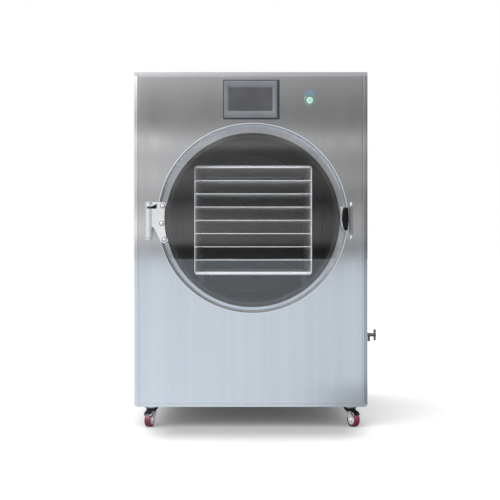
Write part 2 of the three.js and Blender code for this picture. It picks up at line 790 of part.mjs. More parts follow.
function chamberFlange() {
  const bore = CHAMBER_R + CHAMBER_WALL + SEAT_GAP;
  const seat = GASKET_R + SEAT_GAP;
  return latheAlongY(
    [
      [bore, Y_CHAMBER + FLANGE_WEB],
      [bore, Y_CHAMBER],
      [seat, Y_CHAMBER],
      [seat, Y_FLANGE],
      [FLANGE_R, Y_FLANGE],
      [FLANGE_R, Y_CHAMBER + FLANGE_WEB],
    ],
    FACETS_LARGE,
    CHAMBER_X,
    CHAMBER_Z,
  );
}

function doorGasket() {
  const crest = Y_DOOR_BACK + SEAT_GAP;
  const groove = crest + GASKET_GROOVE;
  const first = CHAMBER_R + GASKET_EDGE;
  return latheAlongY(
    [
      [CHAMBER_R, Y_GASKET_BACK],
      [CHAMBER_R, groove],
      [first, crest],
      [first + GASKET_VALLEY, groove],
      [first + GASKET_RIDGE, crest],
      [first + GASKET_RIDGE + GASKET_VALLEY, groove],
      [first + 2 * GASKET_RIDGE, crest],
      [GASKET_R, groove],
      [GASKET_R, Y_GASKET_BACK],
    ],
    FACETS_LARGE,
    CHAMBER_X,
    CHAMBER_Z,
  );
}

function chamberJacket() {
  const bore = CHAMBER_R + CHAMBER_WALL + SEAT_GAP;
  const backIn = Y_CHAMBER_END + CHAMBER_BACK + SEAT_GAP;
  const front = Y_CHAMBER + FLANGE_WEB + SEAT_GAP;
  const port = PORT_R + SEAT_GAP;
  return latheAlongY(
    [
      [bore, front],
      [JACKET_R, front],
      [JACKET_R, Y_JACKET_END],
      [port, Y_JACKET_END],
      [port, backIn],
      [bore, backIn],
    ],
    FACETS_LARGE,
    CHAMBER_X,
    CHAMBER_Z,
  );
}

// A rail welded in the chamber's lower curve; side is -1 or 1.
function rackRail(side) {
  const r = CHAMBER_R - WELD_GAP;
  const low = [RAIL_OUT, (RAIL_OUT + RAIL_IN) / 2, RAIL_IN];
  const top = -RACK_HEIGHT / 2 - SEAT_GAP;
  const points = [[RAIL_IN, top], [RAIL_OUT, top]];
  for (const x of low) points.push([x, -Math.sqrt(r ** 2 - x ** 2)]);
  const placed = points.map(([x, z]) => [CHAMBER_X + side * x, CHAMBER_Z + z]);
  if (side < 0) placed.reverse();
  return slabXZ(outline(placed), Y_RACK, Y_RACK + RACK_DEPTH);
}

function roundedRect(halfW, halfH, r) {
  return [
    ...arc(halfW - r, halfH - r, r, 0, 90, 4),
    ...arc(r - halfW, halfH - r, r, 90, 180, 4),
    ...arc(r - halfW, r - halfH, r, 180, 270, 4),
    ...arc(halfW - r, r - halfH, r, 270, 360, 4),
  ];
}

function rackFrame() {
  const [w, h] = [RACK_WIDTH / 2, RACK_HEIGHT / 2];
  const at = ([x, z]) => [RACK_X + x, CHAMBER_Z + z];
  const ring = outline(roundedRect(w, h, RACK_CORNER).map(at));
  const inside = roundedRect(w - RACK_SIDE, h - RACK_PLATE, RACK_CORNER - RACK_SIDE);
  ring.holes.push(new THREE.Path(inside.map(at).map(([x, z]) => new THREE.Vector2(x, z))));
  const [x0, x1] = [RACK_X - w + RACK_CORNER / 2, RACK_X + w - RACK_CORNER / 2];
  const top = CHAMBER_Z + h;
  const low = CHAMBER_Z - h;
  const bars = [];
  for (const y of [Y_RACK, Y_RACK + RACK_DEPTH - SHEET]) {
    bars.push(box(x0, x1, y, y + SHEET, top - RACK_BAR, top - LAP));
    bars.push(box(x0, x1, y, y + SHEET, low + LAP, low + RACK_BAR));
  }
  return union(slabXZ(ring, Y_RACK, Y_RACK + RACK_DEPTH), ...bars);
}

// Shelf number i, counted from the bottom; its two sides fold down.
function shelf(i) {
  const w = RACK_WIDTH / 2 - RACK_SIDE - SEAT_GAP;
  const lip = SHELF_LIP;
  const top = SHELF_PLATE / 2;
  const z = CHAMBER_Z - RACK_HEIGHT / 2 + RACK_BAR / 2 + i * SHELF_PITCH;
  const profile = [
    [-w, top - lip],
    [-w + SHEET, top - lip],
    [-w + SHEET, -top],
    [w - SHEET, -top],
    [w - SHEET, top - lip],
    [w, top - lip],
    [w, top - SHELF_BEND],
    [w - SHELF_BEND, top],
    [-w + SHELF_BEND, top],
    [-w, top - SHELF_BEND],
  ].map(([x, dz]) => [RACK_X + x, z + dz]);
  return slabXZ(outline(profile), Y_RACK, Y_RACK + RACK_DEPTH);
}

// ---- Door ----

function doorDisc() {
  const rim = DOOR_R - DOOR_BEVEL;
  let made = latheAlongY(
    [
      [0, Y_DOOR],
      [rim, Y_DOOR],
      [DOOR_R, Y_DOOR + DOOR_BEVEL],
      [DOOR_R, Y_DOOR_BACK - DOOR_BEVEL],
      [rim, Y_DOOR_BACK],
      [0, Y_DOOR_BACK],
    ],
    FACETS_LARGE,
    DOOR_X,
    DOOR_Z,
  );
  const end = Y_PLATE_BACK - HINGE_PLATE + BOLT_LENGTH + SEAT_GAP;
  for (const [x, z] of BOLTS) {
    made = made.subtract(rodAlongY(x, z, BOLT_R + PIN_GAP, Y_DOOR - CUT, end));
  }
  return made;
}

// The leaf on the door: three lobes round the bolts, a hollow right edge, and the knuckle.
function hingePlate() {
  const [b1, , b3] = BOLTS;
  const notch = (up) => THREE.MathUtils.radToDeg(Math.asin(up / GASKET_R));
  const a1 = 180 - notch(b1[1] - LOBE_NOTCH_HIGH - DOOR_Z);
  const a3 = 180 + notch(DOOR_Z - b3[1] - LOBE_NOTCH_LOW);
  const leaf = outline([
    [HINGE_X, KNUCKLE_TOP_Z],
    [b1[0] - LOBE_NECK, KNUCKLE_TOP_Z],
    ...arc(b1[0], b1[1], LOBE_R, 190, 20, 8),
    ...arc(DOOR_X, DOOR_Z, GASKET_R, a1, a3, 8),
    ...arc(b3[0], b3[1], LOBE_R, 0, -150, 7),
    [HINGE_X + PLATE_NECK, PLATE_WAIST_Z],
    [HINGE_X, PLATE_WAIST_Z],
  ]);
  const knuckleLow = HINGE_LOW_Z + HINGE_EAR + SEAT_GAP;
  const bore = HINGE_PIN_R + PIN_GAP;
  const plateFront = Y_PLATE_BACK - HINGE_PLATE;
  let made = slabXZ(leaf, plateFront, Y_PLATE_BACK)
    .add(rodAlongZ(HINGE_X, Y_HINGE, KNUCKLE_R, knuckleLow, KNUCKLE_TOP_Z, FACETS_HINGE))
    .subtract(rodAlongZ(HINGE_X, Y_HINGE, bore, 0, Z_TOP, FACETS_HINGE));
  for (const [x, z] of BOLTS) {
    made = made.subtract(rodAlongY(x, z, BOLT_R + PIN_GAP, plateFront - CUT, Y_DOOR + CUT));
  }
  return made;
}

function hingeBolt([x, z]) {
  const seat = Y_PLATE_BACK - HINGE_PLATE - SEAT_GAP;
  return latheAlongY(
    [
      [0, seat - BOLT_HEAD],
      [BOLT_HEAD_R - BOLT_CHAMFER, seat - BOLT_HEAD],
      [BOLT_HEAD_R, seat - BOLT_HEAD + BOLT_CHAMFER],
      [BOLT_HEAD_R, seat],
      [BOLT_R, seat],
      [BOLT_R, seat + BOLT_LENGTH],
      [0, seat + BOLT_LENGTH],
    ],
    FACETS_SMALL,
    x,
    z,
  );
}

// The leaf on the cabinet, with an ear at each end and the pin between them.
function hingeBracket() {
  const back = Y_FRONT - SEAT_GAP;
  const [x0, x1] = [HINGE_X - KNUCKLE_R, HINGE_X + KNUCKLE_R];
  const [leaf0, leaf1] = [HINGE_X - LEAF_OUT, HINGE_X + LEAF_IN];
  const [pin0, pin1] = [HINGE_LOW_Z + LAP, HINGE_HIGH_Z - LAP];
  const ear = (z0) =>
    box(x0, x1, Y_HINGE, back - LAP, z0, z0 + HINGE_EAR).add(
      rodAlongZ(HINGE_X, Y_HINGE, KNUCKLE_R, z0, z0 + HINGE_EAR, FACETS_HINGE),
    );
  return union(
    box(leaf0, leaf1, back - HINGE_LEAF, back, HINGE_LOW_Z, HINGE_HIGH_Z),
    ear(HINGE_LOW_Z),
    ear(HINGE_HIGH_Z - HINGE_EAR),
    rodAlongZ(HINGE_X, Y_HINGE, HINGE_PIN_R, pin0, pin1, FACETS_HINGE),
  );
}

// Outlines about the latch's own axis
const LATCH_BASE_OUTLINE = [
  [-16, 42.5],
  [-16, -15.5],
  [-11, -28.5],
  [-5, -42.5],
  [10, -42.5],
  [12, -0.5],
  [11, 42.5],
];
const PADDLE_OUTLINE = [
  [-6.5, 42.4],
  [-10, 26],
  [-13, 5],
  [-12, -12],
  [-8, -28],
  [-3.5, -41.5],
  [9, -41.5],
  [12.5, -12],
  [13, 10],
  [11.5, 28],
  [7, 42.4],
];

function atLatch([x, z]) {
  return [LATCH_X + x, LATCH_Z + z];
}

function latchBase() {
  return slabXZ(
    outline(LATCH_BASE_OUTLINE.map(atLatch)),
    Y_PLATE_BACK - LATCH_PLATE,
    Y_PLATE_BACK,
  );
}

// The paddle in front, the tongue behind it, and the neck between them.
function latchHandle() {
  const face = PADDLE_OUTLINE.map(([x, z]) => [x * 0.8, z * 0.95]);
  const front = Y_PADDLE_BACK - PADDLE;
  const rim = front + PADDLE_FACE;
  const half = TONGUE_WIDTH / 2;
  return union(
    slabXZ(outline(PADDLE_OUTLINE.map(atLatch)), rim, Y_PADDLE_BACK),
    slabXZ(outline(face.map(atLatch)), front, rim + LAP),
    rodAlongY(LATCH_X, LATCH_Z, LATCH_NECK_R, Y_PADDLE_BACK - LAP, Y_TONGUE_BACK - LAP),
    box(
      LATCH_X - half,
      LATCH_X + half,
      Y_TONGUE_BACK - TONGUE,
      Y_TONGUE_BACK,
      LATCH_Z - TONGUE_LENGTH / 2,
      LATCH_Z + TONGUE_LENGTH / 2,
    ),
  );
}

function latchKeeper() {
  const front = Y_KEEPER_BACK - KEEPER_BAR;
  const back = Y_FRONT - SEAT_GAP;
  const [x0, x1] = [KEEPER_X, KEEPER_X + KEEPER_WIDTH];
  const [z0, z1] = [LATCH_Z - KEEPER_DOWN, LATCH_Z + KEEPER_UP];
  return union(
    box(x0, x1, front, Y_KEEPER_BACK, z0, z1),
    box(x0, x1, front, back, z0, z0 + KEEPER_LEG),
    box(x0, x1, front, back, z1 - KEEPER_LEG, z1),
    box(x0, x1, back - SHEET, back, z0 - KEEPER_FOOT, z0 + SHEET),
    box(x0, x1, back - SHEET, back, z1 - SHEET, z1 + KEEPER_FOOT),
  );
}

// ---- Control panel ----

function hmiCase() {
  const [w, h] = [HMI_WIDTH / 2, HMI_HEIGHT / 2];
  const back = Y_FRONT - SEAT_GAP;
  const inset = HMI_CASE_INSET;
  return union(
    box(HMI_X - w, HMI_X + w, back - HMI_FLANGE, back, HMI_Z - h, HMI_Z + h),
    box(
      HMI_X - w + inset,
      HMI_X + w - inset,
      back - LAP,
      back + HMI_CASE_DEPTH,
      HMI_Z - h + inset,
      HMI_Z + h - inset,
    ),
  );
}

const Y_BEZEL_BACK = Y_FRONT - SEAT_GAP - HMI_FLANGE - SEAT_GAP;

function hmiBezel() {
  const [w, h] = [HMI_WIDTH / 2 - HMI_BORDER, HMI_HEIGHT / 2 - HMI_BORDER];
  const [sw, sh] = [SCREEN_WIDTH / 2, SCREEN_HEIGHT / 2];
  const front = Y_BEZEL_BACK - HMI_FRAME;
  const [y0, y1] = [front - CUT, Y_BEZEL_BACK + CUT];
  return box(HMI_X - w, HMI_X + w, front, Y_BEZEL_BACK, HMI_Z - h, HMI_Z + h).subtract(
    box(SCREEN_X - sw, SCREEN_X + sw, y0, y1, SCREEN_Z - sh, SCREEN_Z + sh),
  );
}

function hmiScreen() {
  const [w, h] = [SCREEN_WIDTH / 2 - SEAT_GAP, SCREEN_HEIGHT / 2 - SEAT_GAP];
  const front = Y_BEZEL_BACK - HMI_FRAME + SCREEN_RECESS;
  return box(SCREEN_X - w, SCREEN_X + w, front, Y_BEZEL_BACK, SCREEN_Z - h, SCREEN_Z + h);
}

const Y_BUTTON = Y_FRONT - SEAT_GAP - BUTTON_FLANGE;

function powerButtonBody() {
  const well = BUTTON_CAP_R + BUTTON_CAP_GAP;
  const floor = Y_BUTTON - BUTTON_PROUD + BUTTON_CAP + BUTTON_TRAVEL + SEAT_GAP;
  return latheAlongY(
    [
      [0, floor],
      [well, floor],
      [well, Y_BUTTON],
      [BUTTON_FLANGE_R, Y_BUTTON],
      [BUTTON_FLANGE_R, Y_FRONT - SEAT_GAP],
      [BUTTON_BARREL_R, Y_FRONT - SEAT_GAP],
      [BUTTON_BARREL_R, Y_FRONT + BUTTON_BARREL],
      [0, Y_FRONT + BUTTON_BARREL],
    ],
    FACETS_HINGE,
    BUTTON_X,
    BUTTON_Z,
  );
}

function powerButton() {
  const front = Y_BUTTON - BUTTON_PROUD;
  return rodAlongY(BUTTON_X, BUTTON_Z, BUTTON_CAP_R, front, front + BUTTON_CAP, FACETS_HINGE);
}

// ---- Machine bay ----

function compressor() {
  const z = Z_FLOOR_INSIDE;
  const tray = z + COMPRESSOR_FOOT;
  const top = z + COMPRESSOR_HEIGHT;
  const [trayX, trayY] = [COMPRESSOR_R + COMPRESSOR_TRAY_LAP, COMPRESSOR_R - TRAY_INSET];
  const feet = [];
  for (const dx of [-COMPRESSOR_R, COMPRESSOR_R]) {
    for (const dy of [-COMPRESSOR_R + FOOT_INSET, COMPRESSOR_R - FOOT_INSET]) {
      const [x, y] = [COMPRESSOR_X + dx, COMPRESSOR_Y + dy];
      feet.push(rodAlongZ(x, y, COMPRESSOR_FOOT_R, z, tray + LAP, FACETS_TINY));
    }
  }
  const shell = latheAlongZ(
    [
      [0, tray],
      [COMPRESSOR_R - SHELL_TAPER_LOW, tray],
      [COMPRESSOR_R, z + COMPRESSOR_BELLY],
      [COMPRESSOR_R, top - COMPRESSOR_SHOULDER],
      [COMPRESSOR_R - SHELL_TAPER_MID, top - COMPRESSOR_SHOULDER / 2],
      [COMPRESSOR_R - SHELL_TAPER_HIGH, top - DOME_RISE],
      [0, top],
    ],
    FACETS_MEDIUM,
    COMPRESSOR_X,
    COMPRESSOR_Y,
  );
  const [x0, x1] = [COMPRESSOR_X - trayX, COMPRESSOR_X + trayX];
  const [y0, y1] = [COMPRESSOR_Y - trayY, COMPRESSOR_Y + trayY];
  const stubY = COMPRESSOR_Y + STUB_OFFSET;
  const stubZ = z + DISCHARGE_RISE;
  return union(
    box(x0, x1, y0, y1, tray, tray + COMPRESSOR_TRAY),
    shell,
    rodAlongZ(COMPRESSOR_X, stubY, STUB_R, top - COMPRESSOR_SHOULDER, top + STUB_REACH, FACETS_TINY),
    rodAlongX(COMPRESSOR_Y, stubZ, STUB_R, x0, COMPRESSOR_X, FACETS_TINY),
    ...feet,
  );
}

function condenser() {
  const [x0, x1] = [CONDENSER_X - CONDENSER_WIDTH / 2, CONDENSER_X + CONDENSER_WIDTH / 2];
  const [z0, z1] = [Z_FLOOR_INSIDE, Z_FLOOR_INSIDE + CONDENSER_HEIGHT];
  const end = Y_SHROUD + SHROUD_DEPTH;
  const bore = rodAlongY(CONDENSER_X, FAN_Z, FAN_R + FAN_TIP_GAP, Y_SHROUD, end + CUT, FACETS_MEDIUM);
  const motor = rodAlongY(CONDENSER_X, FAN_Z, MOTOR_R, Y_SHROUD - LAP, Y_SHROUD + MOTOR_DEPTH);
  const shaft = rodAlongY(CONDENSER_X, FAN_Z, MOTOR_SHAFT_R, Y_SHROUD, Y_SHROUD + MOTOR_SHAFT);
  return box(x0, x1, CONDENSER_Y, end, z0, z1).subtract(bore).add(motor).add(shaft);
}

function fanRotor() {
  const y0 = Y_SHROUD + MOTOR_SHAFT + RUN_GAP;
  const [root, tip] = [FAN_HUB_R - BLADE_ROOT, FAN_R - BLADE_TIP_GAP];
  let made = rodAlongY(0, 0, FAN_HUB_R, y0, y0 + FAN_HUB);
  for (let i = 0; i < FAN_BLADES; i++) {
    const blade = box(root, tip, -BLADE_THICK / 2, BLADE_THICK / 2, -BLADE_HALF, BLADE_HALF)
      .rotate([BLADE_PITCH, 0, 0])
      .translate([0, y0 + FAN_HUB / 2 + SHEET, 0])
      .rotate([0, (360 / FAN_BLADES) * i, 0]);
    made = made.add(blade);
  }
  return made.translate([CONDENSER_X, 0, FAN_Z]);
}

function controlBox() {
  const x1 = X_SIDE - CONTROL_BOX_FROM_SIDE;
  const y0 = Y_FRONT + CONTROL_BOX_FROM_FRONT;
  const z0 = Z_FLOOR_INSIDE;
  return box(
    x1 - CONTROL_BOX_WIDTH,
    x1,
    y0,
    y0 + CONTROL_BOX_DEPTH,
    z0,
    z0 + CONTROL_BOX_HEIGHT,
  );
}

function suctionPipe() {
  const x = COMPRESSOR_X;
  const y = COMPRESSOR_Y + STUB_OFFSET;
  const start = Z_FLOOR_INSIDE + COMPRESSOR_HEIGHT + STUB_REACH + SEAT_GAP;
  const behind = Y_JACKET_END + SUCTION_BEHIND;
  const entry = CHAMBER_Z - SUCTION_DROP;
  return pipe(
    [
      [x, y, start],
      [x, y, start + SUCTION_RISE],
      [x, behind, start + SUCTION_RISE + SUCTION_CLIMB],
      [x, behind, entry],
      [x, Y_JACKET_END + SEAT_GAP, entry],
    ],
    PIPE_R,
    SUCTION_BEND,
    26,
  );
}

function dischargePipe() {
  const z = Z_FLOOR_INSIDE + DISCHARGE_RISE;
  const start = COMPRESSOR_X - COMPRESSOR_R - COMPRESSOR_TRAY_LAP - SEAT_GAP;
  const end = CONDENSER_X + DISCHARGE_FROM_CONDENSER;
  return pipe(
    [
      [start, COMPRESSOR_Y, z],
      [end, COMPRESSOR_Y, z],
      [end, CONDENSER_Y - SEAT_GAP, z],
    ],
    PIPE_R,
    DISCHARGE_BEND,
    24,
  );
}

// ---- Services ----

function vacuumPort() {
  const start = Y_CHAMBER_END + CHAMBER_BACK + SEAT_GAP;
  const end = Y_REAR + PORT_REACH;
  const washer = Y_REAR + SEAT_GAP;
  return latheAlongY(
    [
      [0, start],
      [PORT_R, start],
      [PORT_R, washer],
      [PORT_WASHER_R, washer],
      [PORT_WASHER_R, washer + PORT_WASHER],
      [PORT_R, washer + PORT_WASHER],
      [PORT_R, end - PORT_FLANGE - PORT_TAPER],
      [PORT_FLANGE_R, end - PORT_FLANGE],
      [PORT_FLANGE_R, end],
      [0, end],
    ],
    FACETS_SMALL,
    CHAMBER_X,
    CHAMBER_Z,
  );
}

function powerInlet() {
  const face = Y_REAR + SEAT_GAP;
  const front = face + INLET_FLANGE;
  const [x, z] = [INLET_X, INLET_Z];
  const block = (halfX, halfZ, y0, y1) => box(x - halfX, x + halfX, y0, y1, z - halfZ, z + halfZ);
  const body = union(
    block(INLET_FLANGE_HALF, INLET_FLANGE_RISE, face, front),
    block(INLET_HALF_WIDTH, INLET_HALF_HEIGHT, face - INLET_DEPTH, face + LAP),
  );
  const [recessX, recessZ] = [INLET_HALF_WIDTH - INLET_WALL, INLET_HALF_HEIGHT - INLET_WALL];
  const floor = front - INLET_RECESS;
  const pins = INLET_PINS.map(([px, pz]) => {
    const [x0, x1] = [x + px - PIN_HALF_WIDTH, x + px + PIN_HALF_WIDTH];
    const [z0, z1] = [z + pz - PIN_HALF_HEIGHT, z + pz + PIN_HALF_HEIGHT];
    return box(x0, x1, floor - LAP, floor + PIN_LENGTH, z0, z1);
  });
  return union(body.subtract(block(recessX, recessZ, floor, front + CUT)), ...pins);
}

function drainPipe() {
  const top = CHAMBER_Z - JACKET_R - WELD_GAP;
  return pipe(
    [
      [CHAMBER_X, DRAIN_Y, top],
      [CHAMBER_X, DRAIN_Y, DRAIN_Z],
      [X_SIDE - SHEET - VALVE_INSIDE - SEAT_GAP, DRAIN_Y, DRAIN_Z],
    ],
    DRAIN_PIPE_R,
    DRAIN_BEND,
    28,
  );
}

// A nut inside the wall, a washer outside, and a body with a spout that points down.
function drainValve() {
  const inside = X_SIDE - SHEET - SEAT_GAP;
  const washer = X_SIDE + SEAT_GAP;
  const start = X_SIDE - SHEET - VALVE_INSIDE;
  const end = X_SIDE + VALVE_BODY;
  const spoutX = X_SIDE + SPOUT_OUT;
  return latheAlongX(
    [
      [0, start],
      [VALVE_NUT_R, start],
      [VALVE_NUT_R, inside],
      [VALVE_NECK_R, inside],
      [VALVE_NECK_R, washer],
      [VALVE_WASHER_R, washer],
      [VALVE_WASHER_R, washer + VALVE_WASHER],
      [VALVE_NECK_R, washer + VALVE_WASHER],
      [VALVE_NECK_R, end],
      [0, end],
    ],
    FACETS_SMALL,
    DRAIN_Y,
    DRAIN_Z,
  ).add(rodAlongZ(spoutX, DRAIN_Y, SPOUT_R, DRAIN_Z - SPOUT_DROP, DRAIN_Z, FACETS_TINY));
}

function drainHandle() {
  const start = X_SIDE + VALVE_BODY + SEAT_GAP;
  const end = X_SIDE + VALVE_REACH;
  const [half, wide] = [VALVE_HANDLE_HALF, VALVE_HANDLE_WIDE];
  const [tip, waist] = [wide - HANDLE_TIP, wide - HANDLE_WAIST];
  const side = [
    [-half, -tip],
    [-half + HANDLE_EAR, -wide],
    [-HANDLE_HUB, -waist],
    [HANDLE_HUB, -waist],
    [half - HANDLE_EAR, -wide],
    [half, -tip],
  ];
  const bar = outline([...side, ...side.map(([u, v]) => [u, -v]).reverse()]);
  const wings = slabXZ(bar, 0, HANDLE_THICK)
    .rotate([0, 0, -90])
    .rotate([90, 0, 0])
    .translate([end - HANDLE_THICK - HANDLE_STEM_PROUD, DRAIN_Y, DRAIN_Z]);
  return wings.add(rodAlongX(DRAIN_Y, DRAIN_Z, VALVE_STEM_R, start, end));
}

// ---- Casters ----

function casterPlate(x, y) {
  const top = Z_BASE - SEAT_GAP;
  const low = top - CASTER_PLATE_THICK;
  const half = CASTER_PLATE / 2;
  const head = CROWN_LOW_Z - RUN_GAP;
  return union(
    box(x - half, x + half, y - half, y + half, low, top),
    rodAlongZ(x, y, CROWN_R - RACE_INSET, CROWN_HIGH_Z + RUN_GAP, low + LAP),
    rodAlongZ(x, y, KINGPIN_R, head - LAP, low, FACETS_PIN),
    rodAlongZ(x, y, KINGPIN_HEAD_R, head - KINGPIN_HEAD, head, FACETS_PIN),
  );
}

// Built with its trail along +X, then turned to its own heading.
function casterFork(x, y, heading) {
  const inner = WHEEL_HALF + CHEEK_GAP;
  const outer = inner + CHEEK;
  const [axle, foot] = [WHEEL_R, WHEEL_R - FORK_FOOT];
  const trail = CASTER_TRAIL;
  const cheek = outline([
    [-FORK_BACK, CROWN_HIGH_Z],
    [-FORK_BACK, CROWN_LOW_Z],
    [-FORK_BACK + CHEEK_STEP, CROWN_LOW_Z - CHEEK_STEP],
    [trail - CHEEK_HALF, axle],
    [trail - CHEEK_FOOT_HALF, foot],
    [trail + CHEEK_FOOT_HALF, foot],
    [trail + CHEEK_HALF, axle],
    [trail + CHEEK_HALF, CROWN_LOW_Z - CHEEK_STEP],
    [FORK_FRONT, CROWN_HIGH_Z],
  ]);
  const made = union(
    rodAlongZ(0, 0, CROWN_R, CROWN_LOW_Z, CROWN_HIGH_Z),
    box(-FORK_BACK, FORK_FRONT, -outer, outer, CROWN_HIGH_Z - FORK_ROOT, CROWN_HIGH_Z),
    slabXZ(cheek, -outer, -inner),
    slabXZ(cheek, inner, outer),
    rodAlongY(trail, axle, AXLE_R, -outer, outer),
    rodAlongY(trail, axle, AXLE_NUT_R, -outer - AXLE_NUT, LAP - outer, FACETS_TINY),
    rodAlongY(trail, axle, AXLE_NUT_R, outer - LAP, outer + AXLE_NUT, FACETS_TINY),
  ).subtract(rodAlongZ(0, 0, KINGPIN_R + PIN_GAP, 0, Z_BASE, FACETS_PIN));
  return made.rotate([0, 0, heading]).translate([x, y, 0]);
}

function casterWheel(x, y, heading) {
  const w = WHEEL_HALF;
  const hub = WHEEL_HALF + HUB_PROUD;
  const dish = WHEEL_HALF - RIM_DISH;
  const bore = AXLE_R + PIN_GAP;
  return latheAlongY(
    [
      [bore, -hub],
      [HUB_R, -hub],
      [HUB_R, -dish],
      [RIM_R, -dish],
      [RIM_R, -w],
      [WHEEL_R - TREAD_CHAMFER, -w],
      [WHEEL_R, -w + TREAD_BEVEL],
      [WHEEL_R, w - TREAD_BEVEL],
      [WHEEL_R - TREAD_CHAMFER, w],
      [RIM_R, w],
      [RIM_R, dish],
      [HUB_R, dish],
      [HUB_R, hub],
      [bore, hub],
    ],
    FACETS_SMALL,
    CASTER_TRAIL,
    WHEEL_R,
  )
    .rotate([0, 0, heading])
    .translate([x, y, 0]);
}

// ---- The machine ----

add("base_pan", basePan(), STEEL);
add("side_shell_left", sideShellLeft(), STEEL);
add("side_shell_right", sideShellRight(), STEEL);
add("top_cover", topCover(), STEEL);
add("front_panel", frontPanel(), STEEL);
add("rear_panel", rearPanel(), STEEL);
add("frame_front", postFrame(-Y_FRAME, -Y_FRAME + TUBE), DARK_STEEL);
add("frame_rear", postFrame(Y_FRAME - TUBE, Y_FRAME), DARK_STEEL);
add("chamber_cradle", cradle(), DARK_STEEL);
add("chamber_shell", chamberShell(), STEEL);
add("chamber_jacket", chamberJacket(), FOAM);
add("chamber_flange", chamberFlange(), STEEL);
add("door_gasket", doorGasket(), RUBBER);
add("rack_rail_left", rackRail(-1), STEEL);
add("rack_rail_right", rackRail(1), STEEL);
add("rack_frame", rackFrame(), BRIGHT_STEEL);
for (let i = 1; i <= SHELF_COUNT; i++) add("shelf_" + i, shelf(i), BRIGHT_STEEL);
add("door_disc", doorDisc(), ACRYLIC);
add("hinge_plate", hingePlate(), BRIGHT_STEEL);
BOLTS.forEach((at, i) => add("hinge_bolt_" + (i + 1), hingeBolt(at), BRIGHT_STEEL));
add("hinge_bracket", hingeBracket(), BRIGHT_STEEL);
add("latch_base", latchBase(), BRIGHT_STEEL);
add("latch_handle", latchHandle(), BLACK);
add("latch_keeper", latchKeeper(), BRIGHT_STEEL);
add("hmi_case", hmiCase(), PAINTED);
add("hmi_bezel", hmiBezel(), BEZEL);
add("hmi_screen", hmiScreen(), SCREEN);
add("power_button_body", powerButtonBody(), GLOW);
add("power_button", powerButton(), GLOW);
add("control_box", controlBox(), PAINTED);
add("compressor", compressor(), PAINTED);
add("condenser", condenser(), DARK_STEEL);
add("fan_rotor", fanRotor(), BLACK);
add("suction_pipe", suctionPipe(), COPPER);
add("discharge_pipe", dischargePipe(), COPPER);
add("vacuum_port", vacuumPort(), BRIGHT_STEEL);
add("power_inlet", powerInlet(), BLACK);
add("drain_pipe", drainPipe(), BRIGHT_STEEL);
add("drain_valve", drainValve(), BRIGHT_STEEL);
add("drain_valve_handle", drainHandle(), DARK_STEEL);
for (const [place, sideX, sideY, heading] of CASTERS) {
  const [x, y] = [sideX * CASTER_X, sideY * CASTER_Y];
  add("caster_plate_" + place, casterPlate(x, y), BRIGHT_STEEL);
  add("caster_fork_" + place, casterFork(x, y, heading), BRIGHT_STEEL);
  add("caster_wheel_" + place, casterWheel(x, y, heading), RED);
}

// The row's origin is the middle of the footprint, which the valve on the right widens.
machine.position.set(-VALVE_REACH / 2, 0, 0);
const part = new THREE.Group();
part.add(machine);

export default part;
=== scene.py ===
from math import asin, atan2, cos, degrees, inf, pi, radians, sin

import bmesh
import bpy
from mathutils import Matrix, Vector


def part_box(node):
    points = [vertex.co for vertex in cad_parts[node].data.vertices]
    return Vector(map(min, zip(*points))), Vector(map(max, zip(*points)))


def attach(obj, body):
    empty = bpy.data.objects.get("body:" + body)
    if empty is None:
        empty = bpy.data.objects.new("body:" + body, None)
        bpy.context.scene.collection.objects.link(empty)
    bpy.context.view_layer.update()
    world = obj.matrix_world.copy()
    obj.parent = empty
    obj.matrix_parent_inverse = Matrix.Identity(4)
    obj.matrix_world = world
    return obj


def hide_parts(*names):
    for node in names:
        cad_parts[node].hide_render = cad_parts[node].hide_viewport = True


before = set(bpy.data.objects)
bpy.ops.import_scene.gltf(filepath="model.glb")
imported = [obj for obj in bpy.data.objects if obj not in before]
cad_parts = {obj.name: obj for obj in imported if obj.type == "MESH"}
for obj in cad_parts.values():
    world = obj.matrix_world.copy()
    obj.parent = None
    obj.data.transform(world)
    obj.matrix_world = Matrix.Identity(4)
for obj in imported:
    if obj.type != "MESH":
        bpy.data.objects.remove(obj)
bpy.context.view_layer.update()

MM = 0.001
scene = bpy.context.scene

# Facets round a circle
ROUND_DOOR = 288
ROUND_FITTING = 64
ROUND_SMALL = 40


# ---- Places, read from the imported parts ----

def ends(*nodes):
    """Lowest and highest corners of CAD nodes, in millimetres."""
    boxes = [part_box(node) for node in nodes]
    low = Vector([min(box[0][i] for box in boxes) for i in range(3)]) / MM
    high = Vector([max(box[1][i] for box in boxes) for i in range(3)]) / MM
    return low, high


def middle(*nodes):
    low, high = ends(*nodes)
    return (low + high) / 2


# ---- Shapes ----

class Shape:
    """Points in millimetres and the faces between them."""

    def __init__(self, points=(), faces=()):
        self.points = [Vector(point) for point in points]
        self.faces = [list(face) for face in faces]

    def add(self, *others):
        for other in others:
            start = len(self.points)
            self.points += other.points
            self.faces += [[start + i for i in face] for face in other.faces]
        return self

    def moved(self, matrix):
        return Shape([matrix @ point for point in self.points], self.faces)


ALONG = {
    "X": lambda along, u, v: (along, u, v),
    "Y": lambda along, u, v: (u, along, v),
    "Z": lambda along, u, v: (u, v, along),
}


def turned(profile, axis, centre, facets):
    """A profile of (radius, place along the axis) turned round an axis.
    centre is a point of the axis, with no part of its own along it."""
    shape = Shape()
    rings = []
    for radius, along in profile:
        start = len(shape.points)
        count = facets if radius else 1
        for i in range(count):
            angle = 2 * pi * i / facets
            place = ALONG[axis](along, radius * cos(angle), radius * sin(angle))
            shape.points.append(Vector(place) + centre)
        rings.append([start + i % count for i in range(facets)])
    if profile[0][0] and profile[-1][0]:
        rings.append(rings[0])
    for near, far in zip(rings, rings[1:]):
        for i in range(facets):
            j = (i + 1) % facets
            face = list(dict.fromkeys([near[i], near[j], far[j], far[i]]))
            if len(face) > 2:
                shape.faces.append(face)
    return shape


